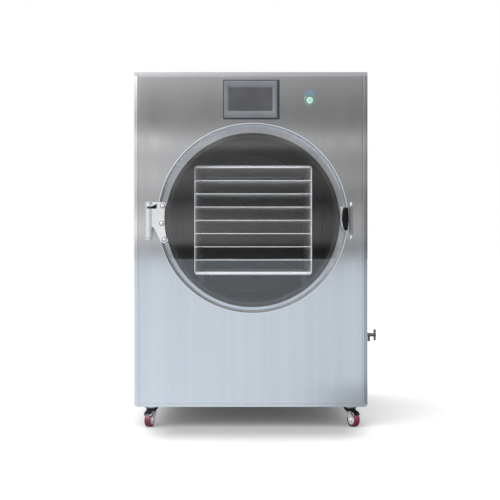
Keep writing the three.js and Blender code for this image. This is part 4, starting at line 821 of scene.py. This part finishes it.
def hinge():
    """The lobed leaf and its knuckle on the door, the leaf and pin on the cabinet."""
    low, high = ends("hinge_plate")
    door = middle("door_disc")
    seal = (ends("door_gasket")[1].x - ends("door_gasket")[0].x) / 2
    knuckle, plate, bore = 10.0, 5.0, 4.1
    pin_x, pin_y = low.x + knuckle, low.y + knuckle
    front, back = pin_y - plate / 2, pin_y + plate / 2
    bolts = [middle(f"hinge_bolt_{number}") for number in (1, 2, 3)]
    top, _, bottom = bolts
    lobe = 14.0

    def notch(up):
        return degrees(asin(up / seal))

    case_low, case_high = ends("hinge_bracket")
    ear = 6.0
    under, over = case_high.z - ear - 0.4, case_low.z + ear + 1.6
    leaf = [(pin_x, under), (pin_x + knuckle + 0.6, under), (pin_x + knuckle + 0.8, high.z - 1),
            *arc(top.x, top.z, lobe, 112, 20, 12),
            *arc(door.x, door.z, seal, 180 - notch(top.z - 6 - door.z),
                 180 + notch(door.z - bottom.z - 4), 24),
            *arc(bottom.x, bottom.z, lobe, 0, -150, 18),
            (pin_x + 18, door.z - 36), (pin_x + 12, door.z - 32.4), (pin_x, door.z - 32.4)]
    piece("hinge_leaf", slab(leaf, front, back), "polished steel", ["hinge_plate"], edge=1.2,
          body="door")
    axis = Vector((pin_x, pin_y, 0))
    groove = (low.z + high.z) / 2
    upper = high.z - 24
    barrel = [(bore, over), (knuckle - 1, over), (knuckle, over + 1)]
    for z in (groove - 26, groove + 26):
        barrel += [(knuckle, z - 1), (knuckle - 0.7, z - 0.5), (knuckle - 0.7, z + 0.5),
                   (knuckle, z + 1)]
    barrel += [(knuckle, upper - 1), (knuckle - 1, upper), (bore, upper)]
    piece("hinge_barrel", turned(barrel, "Z", axis, ROUND_SMALL), "cast steel", body="door")
    collar = [(bore, under - 10), (knuckle - 2, under - 10), (knuckle, under - 8),
              (knuckle, under - 1), (knuckle - 1, under), (bore, under)]
    piece("hinge_collar", turned(collar, "Z", axis, ROUND_SMALL), "polished steel", body="door")
    # Black rings fill the gaps between the knuckles: painted shade of the gaps
    for name, z0, z1, out in (("upper", upper + 0.3, under - 10.4, 6.4),
                              ("lower", case_low.z + ear + 0.1, over - 0.3, knuckle - 1)):
        ring = [(bore, z0), (out, z0), (out, z1), (bore, z1)]
        piece(f"hinge_gap_shade_{name}", turned(ring, "Z", axis, ROUND_SMALL), "black paint")
    # A thin black wedge on the leaf: painted shadow of the hollow above the knuckle
    wedge = [(pin_x + 4.8, upper + 0.5), (pin_x + 27.5, upper + 0.5), (pin_x + 28.5, high.z - 6.5),
             (pin_x + 4.8, upper + 5.5)]
    piece("hinge_painted_shadow", slab(rounded(wedge, 1.5), front - 0.8, front - 0.05), "paddle plastic",
          body="door")
    for number, bolt in enumerate(bolts, 1):
        bolt_low, bolt_high = ends(f"hinge_bolt_{number}")
        seat = bolt_low.y + 4
        head = [(0, seat - 1.6), (2.6, seat - 1.6), (2.9, seat - 3.9), (3.4, seat - 4),
                (4.8, seat - 3.9), (5.9, seat - 3), (6.5, seat - 1.4), (6.5, seat - 0.2),
                (6.2, seat), (4, seat), (4, bolt_high.y), (0, bolt_high.y)]
        piece(f"dome_bolt_{number}", turned(head, "Y", face_point(bolt), ROUND_SMALL),
              "polished steel", [f"hinge_bolt_{number}"], body="door")
        washer = [(4.2, front - 0.25), (10.5, front - 0.25), (10.8, front + 0.1),
                  (10.8, front + 0.6), (4.2, front + 0.6)]
        piece(f"bolt_boss_{number}", turned(washer, "Y", face_point(bolt), ROUND_SMALL),
              "polished steel", body="door")
        # A flat black ring round each bolt: painted shade of the groove
        shade_ring = [(6.9, front - 0.4), (9, front - 0.4), (9, front), (6.9, front)]
        piece(f"bolt_painted_shade_{number}",
              turned(shade_ring, "Y", face_point(bolt), ROUND_SMALL), "black paint", body="door")

    base = slab(oblong(case_low.x, case_high.x, case_low.z, case_high.z, 3, 4), case_high.y - 4,
                case_high.y)
    for z in (case_low.z, case_high.z - ear):
        base.add(block((pin_x - knuckle, pin_y, z), (pin_x + knuckle, case_high.y - 1, z + ear)))
        base.add(turned([(0, z), (knuckle, z), (knuckle, z + ear), (0, z + ear)], "Z", axis,
                        ROUND_SMALL))
    piece("hinge_case_leaf", base, "cast steel", ["hinge_bracket"], edge=0.8)
    pin = [(0, case_low.z + 1), (4, case_low.z + 1), (4, case_high.z - 1), (0, case_high.z - 1)]
    piece("hinge_pin", turned(pin, "Z", axis, ROUND_SMALL), "polished steel")


LATCH_BASE = [(-15, 42.5), (-15, -15.5), (-10.5, -28.5), (-5, -42.5), (10, -42.5), (12, -0.5),
              (11, 42.5)]
LATCH_PADDLE = [(-7.5, 42), (-12.5, 12), (-13, -2), (-5, -41), (7, -41), (11.5, -4), (9.5, 42)]


def latch():
    low, high = ends("latch_base")
    axis_x, axis_z = low.x + 16, low.z + 42.5
    base = [(axis_x + x, axis_z + z) for x, z in LATCH_BASE]
    piece("latch_plate", slab(rounded(base, 2.5), low.y, high.y), "polished steel",
          ["latch_base"], edge=1.1, body="door")
    grip_low, grip_high = ends("latch_handle")
    about = (axis_x, axis_z)
    grip = rounded([(axis_x + x, axis_z + z) for x, z in LATCH_PADDLE], 4, 6)
    front, depth = grip_low.y, 14.0
    levels = [(1, front + depth), (1, front + 5), (0.985, front + 3.6), (0.94, front + 2.2),
              (0.87, front + 1.1), (0.78, front + 0.5), (0.6, front + 0.15), (0.3, front)]
    loops = [at_depth(scaled(grip, about, share, 0.4 + 0.6 * share), y) for share, y in levels]
    piece("latch_paddle", stacked(loops), "paddle plastic", ["latch_handle"],
          crease=50, body="latch_handle")
    tongue_y = grip_high.y
    neck = [(0, front + depth - 1), (7, front + depth - 1), (7, tongue_y - 4), (0, tongue_y - 4)]
    tongue = slab(oblong(axis_x - 7, axis_x + 7, axis_z - 27, axis_z + 27, 4, 5),
                  tongue_y - 5, tongue_y)
    tongue.add(turned(neck, "Y", Vector((axis_x, 0, axis_z)), ROUND_SMALL))
    piece("latch_tongue", tongue, "polished steel", edge=0.7, body="latch_handle")

    low, high = ends("latch_keeper")
    foot, leg, bar = 14.0, 5.0, 5.5
    loop_low, loop_high = low.z + foot, high.z - foot
    outer = [(high.y, low.z), (high.y, loop_low + SHEET), (high.y - SHEET - 3, loop_low + leg),
             (low.y + bar, loop_low + leg), (low.y + bar, loop_high - leg),
             (high.y - SHEET - 3, loop_high - leg), (high.y, loop_high - SHEET), (high.y, high.z),
             (high.y - SHEET, high.z), (high.y - SHEET, loop_high), (low.y, loop_high),
             (low.y, loop_low), (high.y - SHEET, loop_low), (high.y - SHEET, low.z)]
    strip = rounded(outer, 2.2, 4)
    sides = [[(x, y, z) for y, z in strip] for x in (low.x, high.x)]
    piece("keeper_hoop", stacked(sides), "ring steel", ["latch_keeper"], edge=0.8)
    foot_front = high.y - SHEET - 0.05
    for name, z0, z1 in (("upper", loop_high + 1.5, high.z - 1),
                         ("lower", low.z + 1, loop_low - 1.5)):
        pad = slab(oblong(low.x + 0.8, high.x - 0.8, z0, z1, 2, 4), foot_front - 0.8, foot_front)
        piece(f"keeper_pad_{name}", pad, "bright zinc", edge=0.3)


# Control panel

def control_panel():
    low, high = ends("hmi_case")
    front, flange = low.y, 3.0
    rim = oblong(low.x, high.x, low.z, high.z, 3, 5)
    case = stacked([
        at_depth(rim, front + flange), at_depth(rim, front + 0.9),
        at_depth(oblong(low.x + 0.3, high.x - 0.3, low.z + 0.3, high.z - 0.3, 3, 5), front + 0.3),
        at_depth(oblong(low.x + 1, high.x - 1, low.z + 1, high.z - 1, 3, 5), front),
    ])
    inset = 6.0
    case.add(slab(oblong(low.x + inset, high.x - inset, low.z + inset, high.z - inset, 3, 5),
                  front + flange - 1, high.y))
    piece("panel_case", case, "case plastic", ["hmi_case"])
    low, high = ends("hmi_bezel")
    view_low, view_high = ends("hmi_screen")

    def outer(draw_in, y):
        return at_depth(oblong(low.x + draw_in, high.x - BEZEL_STEP - draw_in, low.z + draw_in,
                               high.z - draw_in, 4, 6), y)

    def opening(draw_out, y):
        return at_depth(oblong(view_low.x - 0.3 - draw_out, view_high.x + 0.3 + draw_out,
                               view_low.z - 0.3 - draw_out, view_high.z + 0.3 + draw_out,
                               1 + draw_out, 6), y)

    bezel = stacked([
        outer(0, high.y), outer(0, low.y + 1.6), outer(0.5, low.y + 0.6), outer(1.8, low.y),
        opening(5.2, low.y), opening(4.6, low.y + 0.3), opening(4, low.y + 0.9),
        opening(0.6, low.y + 0.9), opening(0, low.y + 1.4), opening(0, high.y),
    ], ring=True)
    piece("panel_bezel", bezel, "bezel plastic", ["hmi_bezel"], crease=50)
    view = slab(oblong(view_low.x, view_high.x, view_low.z, view_high.z, 1, 6), view_low.y,
                view_high.y)
    piece("panel_screen", view, "screen film", ["hmi_screen"], edge=0.3)


# Baring the dark case rim on the right stands partly for a painted shadow line
BEZEL_STEP = 4.0  # the bezel stops short of the case on the right


def power_button():
    low, high = ends("power_button_body")
    at = middle("power_button_body")
    centre = face_point(at)
    ring = (high.x - low.x) / 2
    cap_low, cap_high = ends("power_button")
    cap = (cap_high.x - cap_low.x) / 2
    well, floor = cap + 0.25, cap_high.y + 1.8
    body = [
        (0, floor), (well, floor), (well, low.y + 0.6), (well + 0.6, low.y), (ring - 1.6, low.y),
        (ring - 0.5, low.y + 0.4), (ring, low.y + 1.4), (ring, low.y + 3), (9.2, low.y + 3),
        (9.2, high.y), (0, high.y),
    ]
    piece("lit_ring", turned(body, "Y", centre, ROUND_FITTING), "lamp ring",
          ["power_button_body"])
    back = min(cap_high.y, ends("front_panel")[0].y + BEAD_RISE - 1.8)
    dish = [(0, cap_low.y + 0.5), (3, cap_low.y + 0.35), (5, cap_low.y + 0.05), (6, cap_low.y),
            (cap - 0.3, cap_low.y + 0.3), (cap, cap_low.y + 1), (cap, back), (0, back)]
    piece("lit_cap", turned(dish, "Y", centre, ROUND_FITTING), "lamp cap",
          ["power_button"], body="power_button")
    face = ends("front_panel")[0].y + BEAD_RISE
    # A green tinted ring round the button: painted glow of its lamp on the sheet
    collar = [(ring + 0.1, face - 0.4), (ring + 8, face - 0.4), (ring + 8.4, face - 0.1),
              (ring + 8.4, face + 0.2), (ring + 0.1, face + 0.2)]
    piece("button_painted_glow", turned(collar, "Y", centre, ROUND_FITTING), "collar steel",
          crease=10)
    base_z = at.z + 14.5
    half_disc = [(at.x - 21, base_z), (at.x + 21, base_z), (at.x + 21, base_z + 3),
                 *arc(at.x, base_z + 3, 20, 6, 174, 24), (at.x - 21, base_z + 3)]
    piece("plain_label", slab(half_disc, face - 0.35, face - 0.05), "label film",
          edge=0.1)


# Drain valve, rear fittings and the machine bay

def drain_valve():
    low, high = ends("drain_valve")
    side = ends("side_shell_right")[1].x
    grip_low, grip_high = ends("drain_valve_handle")
    at_y, at_z = (low.y + high.y) / 2, high.z - 13
    axis = Vector((0, at_y, at_z))
    body = [(0, low.x), (11, low.x), (11, side - 2.3), (8, side - 2.3), (8, side + 0.3),
            (12.4, side + 0.3), (13, side + 0.8), (13, side + 3.2), (12.4, side + 3.8),
            (9, side + 3.8), (8.4, side + 5), (7, side + 6), (7, side + 11), (8, side + 12),
            (8, high.x - 1), (7, high.x), (0, high.x)]
    valve = turned(body, "X", axis, ROUND_SMALL)
    spout_x = side + 18.5
    spout = [(0, at_z), (4.2, at_z), (4.2, low.z + 8), (4.5, low.z + 7), (4.5, low.z + 1),
             (4, low.z), (2.8, low.z), (2.8, low.z + 12), (0, low.z + 12)]
    valve.add(turned(spout, "Z", Vector((spout_x, at_y, 0)), ROUND_SMALL))
    piece("valve_body", valve, "valve plate", ["drain_valve"])
    grip_y = (grip_low.y + grip_high.y) / 2
    half = (grip_high.z - grip_low.z) / 2
    wings = [(-half, 0), (-half + 1, 4), (-half + 3.5, 6), (-half + 7, 5.4), (-9, 4.4), (0, 5.2),
             (9, 4.4), (half - 7, 5.4), (half - 3.5, 6), (half - 1, 4), (half, 0)]
    ring = [*wings, *[(u, -v) for u, v in wings[-2:0:-1]]]
    thick = 4.0
    mid_x = grip_high.x - 1 - thick
    loops = []
    for share, x in ((0.8, mid_x - thick), (0.94, mid_x - thick + 0.8), (1, mid_x - 0.8),
                     (1, mid_x + 0.8), (0.94, mid_x + thick - 0.8), (0.8, mid_x + thick)):
        loops.append([(x, grip_y + v * share, at_z + u * (0.6 + 0.4 * share))
                      for u, v in flowing(ring, 3)])
    grip = stacked(loops)
    stem = [(0, grip_low.x), (6.5, grip_low.x), (6.5, mid_x), (6, grip_high.x - 1),
            (4.4, grip_high.x), (0, grip_high.x)]
    grip.add(turned(stem, "X", Vector((0, grip_y, at_z)), ROUND_SMALL))
    piece("valve_grip", grip, "valve plate", ["drain_valve_handle"], crease=50,
          body="drain_handle")


def rear_fittings():
    low, high = ends("vacuum_port")
    at = middle("vacuum_port")
    rear = ends("rear_panel")[1].y
    centre = face_point(at)
    pipe = [
        (0, low.y), (14, low.y), (14, rear + 0.3), (23.4, rear + 0.3), (24, rear + 0.9),
        (24, rear + 3.6), (23.4, rear + 4.2), (15, rear + 4.4), (14, rear + 6), (14, high.y - 19),
        (16, high.y - 15), (20, high.y - 7), (20, high.y - 0.6), (19.4, high.y), (13, high.y),
        (12, high.y - 1), (12, high.y - 30), (0, high.y - 30),
    ]
    piece("vacuum_spigot", turned(pipe, "Y", centre, ROUND_FITTING), "polished steel",
          ["vacuum_port"])
    dress(["power_inlet"], "paddle plastic", 0.4)


def pan_screw(at, way):
    """A pan head screw with a socket, standing on a sheet whose outer side faces way."""
    head = [(0, 0.9), (1.9, 0.9), (2.2, 2.5), (2.8, 2.6), (4.2, 2.1), (5, 1.1), (5.2, 0), (0, 0)]
    shape = turned(head, "Z", Vector((0, 0, 0)), 24)
    turn = Vector((0, 0, 1)).rotation_difference(Vector(way)).to_matrix().to_4x4()
    return shape.moved(Matrix.Translation(at) @ turn)


def screws():
    """Screws along the edges of the rear sheet."""
    low, high = ends("rear_panel")
    rear = Shape()
    for x in (low.x + 14, high.x - 14):
        for i in range(6):
            rear.add(pan_screw((x, high.y, low.z + 30 + (high.z - low.z - 60) * i / 5), (0, 1, 0)))
    for z in (low.z + 14, high.z - 14):
        for i in range(1, 4):
            rear.add(pan_screw((low.x + (high.x - low.x) * i / 4, high.y, z), (0, 1, 0)))
    piece("rear_screws", rear, "zinc plate")


def fan():
    low, high = ends("fan_rotor")
    at = middle("fan_rotor")
    hub_y, depth = low.y + 6, 26.0
    radius = (high.x - low.x) / 2
    hub = [(0, hub_y), (24, hub_y), (27.4, hub_y + 1), (28, hub_y + 3), (28, hub_y + depth),
           (0, hub_y + depth)]
    rotor = turned(hub, "Y", face_point(at), ROUND_SMALL)
    for number in range(5):
        loops = []
        for step in range(7):
            share = step / 6
            out = 24 + (radius - 4 - 24) * share
            pitch = radians(48 - 22 * share)
            half, sweep = 20 + 16 * share, 10 * share
            loop = []
            for side in (-1, 1):
                for across in (-1, -0.5, 0, 0.5, 1)[::side]:
                    bend = 3 * (1 - across ** 2)
                    u = across * half * cos(pitch) + sweep
                    v = across * half * sin(pitch) * 0.55 + bend * cos(pitch) + 0.8 * side
                    loop.append((out, hub_y + depth / 2 + v, u))
            loops.append(loop)
        blade = stacked(loops)
        rotor.add(blade.moved(Matrix.Translation((at.x, 0, at.z))
                              @ Matrix.Rotation(radians(72 * number), 4, "Y")))
    piece("fan_blades", rotor, "black paint", ["fan_rotor"], body="fan")


# Casters, each turned to its own heading

HEADINGS = {"front_left": 254, "front_right": 300, "rear_left": 70, "rear_right": 110}
TRAIL, WHEEL, HALF_TREAD = 22.0, 26.0, 11.0
HOOD_FROM, HOOD_TO = 38, 150


def caster(place, heading):
    at = middle(f"caster_plate_{place}")
    x, y = at.x, at.y
    half, hole = 30, 22
    turn = Matrix.Translation((x, y, 0)) @ Matrix.Rotation(radians(heading), 4, "Z")
    top = ends(f"caster_plate_{place}")[1].z
    crown = ends(f"caster_fork_{place}")[1].z

    plate = slab_flat(oblong(x - half, x + half, y - half, y + half, 4, 5), top - 2.5, top)
    plate.add(turned([(0, crown + 0.5), (19, crown + 0.5), (20, crown + 1.5), (20, top - 3),
                      (21.5, top - 2.2), (0, top - 2.2)], "Z", Vector((x, y, 0)), ROUND_SMALL))
    for u in (-hole, hole):
        for v in (-hole, hole):
            plate.add(pan_screw((x + u, y + v, top - 2.5), (0, 0, -1)))
    piece(f"mount_plate_{place}", plate, "zinc plate", [f"caster_plate_{place}"])

    swivel = [(5.2, crown - 7), (17, crown - 7), (20.5, crown - 6), (22, crown - 3.6),
              (22, crown - 0.8), (21, crown), (5.2, crown)]
    fork = turned(swivel, "Z", Vector((0, 0, 0)), ROUND_SMALL)
    outer, inner = HALF_TREAD + 3.7, HALF_TREAD + 1.2
    guard = WHEEL + 1.6
    hood = [*arc(TRAIL, WHEEL, guard + 1.8, HOOD_FROM, HOOD_TO, 16),
            *arc(TRAIL, WHEEL, guard, HOOD_TO, HOOD_FROM, 16)]
    roof = [(-15, crown - 0.4), (14, crown - 0.4), (TRAIL, WHEEL + guard + 1.6),
            (TRAIL, WHEEL + guard), (6, WHEEL + guard - 4), (-15, crown - 7)]
    fork.add(slab(hood, -outer, outer), slab(rounded(roof, 1.5, 3), -outer, outer))
    piece(f"fork_{place}", fork.moved(turn), "fork plate",
          [f"caster_fork_{place}"], edge=0.4, body=f"caster_{place}")
    cheek = rounded([(-8, crown - 8), (-4, crown - 22), (TRAIL - 9.5, WHEEL),
                     (TRAIL - 7, WHEEL - 8), (TRAIL + 7, WHEEL - 8), (TRAIL + 9.5, WHEEL),
                     (TRAIL + 9, WHEEL + 10), (TRAIL, WHEEL + guard - 1)], 5, 5)
    cheeks = Shape()
    for y0, y1 in ((-outer, -inner), (inner, outer)):
        cheeks.add(slab(cheek, y0, y1))
    for y in (-outer, outer):
        trim = [*arc(TRAIL, WHEEL, guard + 2.4, HOOD_FROM, HOOD_TO, 16),
                *arc(TRAIL, WHEEL, guard + 1.2, HOOD_TO, HOOD_FROM, 16)]
        cheeks.add(slab(trim, y - 0.6, y + 0.6))
    piece(f"cheeks_{place}", cheeks.moved(turn), "bright zinc", edge=0.3, body=f"caster_{place}")
    axle_at = Vector((TRAIL, 0, WHEEL))
    axle = turned([(0, -outer - 3), (4.6, -outer - 3), (6, -outer - 2.2), (6, -outer),
                   (3.9, -outer), (3.9, outer), (6, outer), (6, outer + 2.2), (4.6, outer + 3),
                   (0, outer + 3)], "Y", axle_at, ROUND_SMALL)
    piece(f"axle_{place}", axle.moved(turn), "bright zinc", body=f"caster_{place}")

    tread = [(18.2, -HALF_TREAD + 0.4), (21, -HALF_TREAD), (WHEEL - 2.4, -HALF_TREAD)]
    tread += [(WHEEL - 2.6 + 2.6 * cos(a), -HALF_TREAD + 3 + 3 * sin(a))
              for a in (radians(-75 + 15 * i) for i in range(6))]
    tread += [(WHEEL + 0.0, 0)]
    tread += [(r, -along) for r, along in tread[-2::-1]]
    piece(f"tread_{place}", turned(tread, "Y", axle_at, ROUND_FITTING).moved(turn),
          "red tread", [f"caster_wheel_{place}"], crease=50, body=f"wheel_{place}")
    hub = [(4.2, -11.5), (8, -11.5), (9, -10.8), (9.6, -8.6), (16, -7.6), (17.4, -9.6),
           (18, -HALF_TREAD + 0.2)]
    hub += [(r, -along) for r, along in hub[::-1]]
    piece(f"hub_{place}", turned(hub, "Y", axle_at, ROUND_SMALL).moved(turn), "bright zinc",
          body=f"wheel_{place}")


front_sheet()
edge_hems()
chamber()
chamber_mouth()
rack()
clear_door()
hinge()
latch()
control_panel()
power_button()
drain_valve()
rear_fittings()
screws()
fan()
for place, heading in HEADINGS.items():
    caster(place, heading)
dress(["side_shell_left", "side_shell_right", "rear_panel", "base_pan"], "cabinet sheet", 0.6)
dress(["top_cover"], "top sheet", 0.8)
dress(["frame_front", "frame_rear", "chamber_cradle"], "frame paint", 1.5)
dress(["chamber_jacket"], "jacket foam", 1.0)
dress(["compressor", "control_box"], "black paint", 1.0)
dress(["condenser"], "zinc plate", 0.8)
dress(["suction_pipe", "discharge_pipe", "drain_pipe"], "copper tube", 0.3)


# ---- Studio ----

def clear_of_cabinet(tree, parts):
    """0 under the cabinet, rising to 1 a little way off: painted shadow under the cabinet in the
    floor's mirrored glow.
    """
    away = [maths(tree, "SUBTRACT", maths(tree, "ABSOLUTE", part), half)
            for part, half in zip(parts, (0.4, 0.37))]
    return remap(tree, maths(tree, "MAXIMUM", *away), -0.04, 0.12, soft=True)


def studio_floor():
    work = bmesh.new()
    bmesh.ops.create_circle(work, cap_ends=True, segments=96, radius=60)
    mesh = bpy.data.meshes.new("floor")
    work.to_mesh(mesh)
    work.free()
    floor = bpy.data.objects.new("floor", mesh)
    scene.collection.objects.link(floor)
    made, tree, shader, place = blank("Pale studio floor")
    # A faint glow all over lifts the shade under the cabinet: painted light
    shader.inputs["Emission Color"].default_value = (1.0, 1.0, 1.0, 1.0)
    shader.inputs["Emission Strength"].default_value = 0.06
    shader.inputs["Roughness"].default_value = 0.9
    shader.inputs["Specular IOR Level"].default_value = 0.0
    parts = node(tree, "SeparateXYZ", {0: place}).outputs
    # A dark patch in front of the cabinet: painted shadow in the floor's colour
    off = maths(tree, "DIVIDE", maths(tree, "ADD", parts[1], 0.45), 0.15)
    bump = maths(tree, "EXPONENT", times(tree, times(tree, off, off), -1.0))
    across = remap(tree, maths(tree, "ABSOLUTE", parts[0]), 0.46, 0.28, soft=True)
    shadow_patch = times(tree, bump, across)
    pale = maths(tree, "MULTIPLY_ADD", shadow_patch, -0.24, 0.5)
    tree.links.new(pale, shader.inputs["Base Color"])
    # Mirror rays see the floor as a glow: painted reflection, brighter to the left, with painted
    # shade under the cabinet and on the right near it
    ahead = maths(tree, "ADD", maths(tree, "ABSOLUTE", parts[1]), 1.0)
    aside = maths(tree, "DIVIDE", parts[0], ahead)
    level = remap(tree, aside, -0.3, 0.3, 1.1, 0.84)
    level = times(tree, level, clear_of_cabinet(tree, parts))
    close = remap(tree, ahead, 2.7, 2.0, 0.0, 0.36, soft=True)
    corner = times(tree, close, remap(tree, aside, 0.1, 0.22, soft=True))
    level = times(tree, level, maths(tree, "SUBTRACT", 1.0, corner))
    glow = node(tree, "Emission", {0: (0.94, 1.02, 1.1, 1.0), 1: level}).outputs[0]
    mirrored = node(tree, "LightPath").outputs["Is Glossy Ray"]
    mixed = node(tree, "MixShader", {0: mirrored, 1: shader.outputs[0], 2: glow}).outputs[0]
    show(tree, mixed)
    mesh.materials.append(made)


# Brightness of the room by degrees above the horizon
ROOM = [(-2, 0.3), (-0.6, 0.24), (-0.1, 0.14), (0.2, 0.24), (0.6, 0.78), (1.7, 0.86), (3.3, 0.3),
        (4.9, 0.72), (5.9, 0.42), (6.5, 0.48), (7.0, 1.12), (7.4, 0.84), (7.9, 0.22), (8.7, 0.19),
        (9.4, 0.27), (10.3, 0.37), (11.0, 0.44), (12.0, 0.56), (20, 0.8), (30, 1.1)]


def room():
    world = bpy.data.worlds.new("Pale room")
    scene.world = world
    world.use_nodes = True
    tree = world.node_tree
    tree.nodes.clear()
    way = node(tree, "SeparateXYZ", {0: node(tree, "TexCoord").outputs["Generated"]}).outputs
    low, high = (sin(radians(ROOM[i][0])) for i in (0, -1))
    share = remap(tree, way[2], low, high)
    bands = node(tree, "ValToRGB", {0: share})
    stops = bands.color_ramp.elements
    while len(stops) < len(ROOM):
        stops.new(0.5)
    for stop, (angle, level) in zip(stops, ROOM):
        stop.position = (sin(radians(angle)) - low) / (high - low)
        stop.color = (level, level * 0.985, level * 0.975, 1.0)
    low_down = remap(tree, way[2], sin(radians(7.5)), sin(radians(7)), 0.2, 1.0)
    ceiling = remap(tree, way[2], sin(radians(10.8)), sin(radians(11.8)), 0, 0.4)
    strength = maths(tree, "ADD", low_down, ceiling)
    lean = times(tree, remap(tree, way[0], -0.16, 0.16, 0.42, -0.42), strength)
    far_left = remap(tree, way[0], -0.17, -0.36)
    height = remap(tree, way[2], sin(radians(7)), sin(radians(9)), 0.4, 2.6)
    window = maths(tree, "MULTIPLY_ADD", far_left, height, 1.0)
    aside = times(tree, maths(tree, "ADD", lean, 1.0), window)
    mirrored = node(tree, "Background", {0: bands.outputs[0], 1: aside}).outputs[0]
    white = node(tree, "Background", {0: (1.0, 1.0, 1.0, 1.0), 1: 1.0}).outputs[0]
    soft = node(tree, "Background", {0: (1.0, 1.0, 1.0, 1.0), 1: 2.2}).outputs[0]
    path = node(tree, "LightPath").outputs
    plain = node(tree, "MixShader", {0: path["Is Diffuse Ray"], 1: mirrored, 2: soft}).outputs[0]
    seen = node(tree, "MixShader", {0: path["Is Camera Ray"], 1: plain, 2: white}).outputs[0]
    out = tree.nodes.new("ShaderNodeOutputWorld")
    tree.links.new(seen, out.inputs["Surface"])


def soft_box(name, at, aim, width, height, power):
    lamp = bpy.data.lights.new(name, "AREA")
    lamp.shape = "RECTANGLE"
    lamp.size, lamp.size_y = width, height
    lamp.energy = power
    made = bpy.data.objects.new(name, lamp)
    made.location = at
    made.rotation_euler = (Vector(aim) - Vector(at)).to_track_quat("-Z", "Y").to_euler()
    scene.collection.objects.link(made)


def camera():
    data = bpy.data.cameras.new("Camera")
    distance = 3.1
    data.sensor_width = 36
    data.lens = 20 * distance
    made = bpy.data.objects.new("Camera", data)
    made.location = (-0.0256, -0.39 - distance, 0.64)
    made.rotation_euler = (radians(90), 0, 0)
    scene.collection.objects.link(made)
    scene.camera = made


studio_floor()
room()
soft_box("Key soft box", (-2.2, -2.6, 3.4), (0, 0, 0.6), 2.4, 2.0, 30)
soft_box("Fill soft box", (2.4, -2.2, 3.0), (0, 0, 0.6), 1.6, 1.6, 8)
camera()
scene.view_settings.view_transform = "Standard"
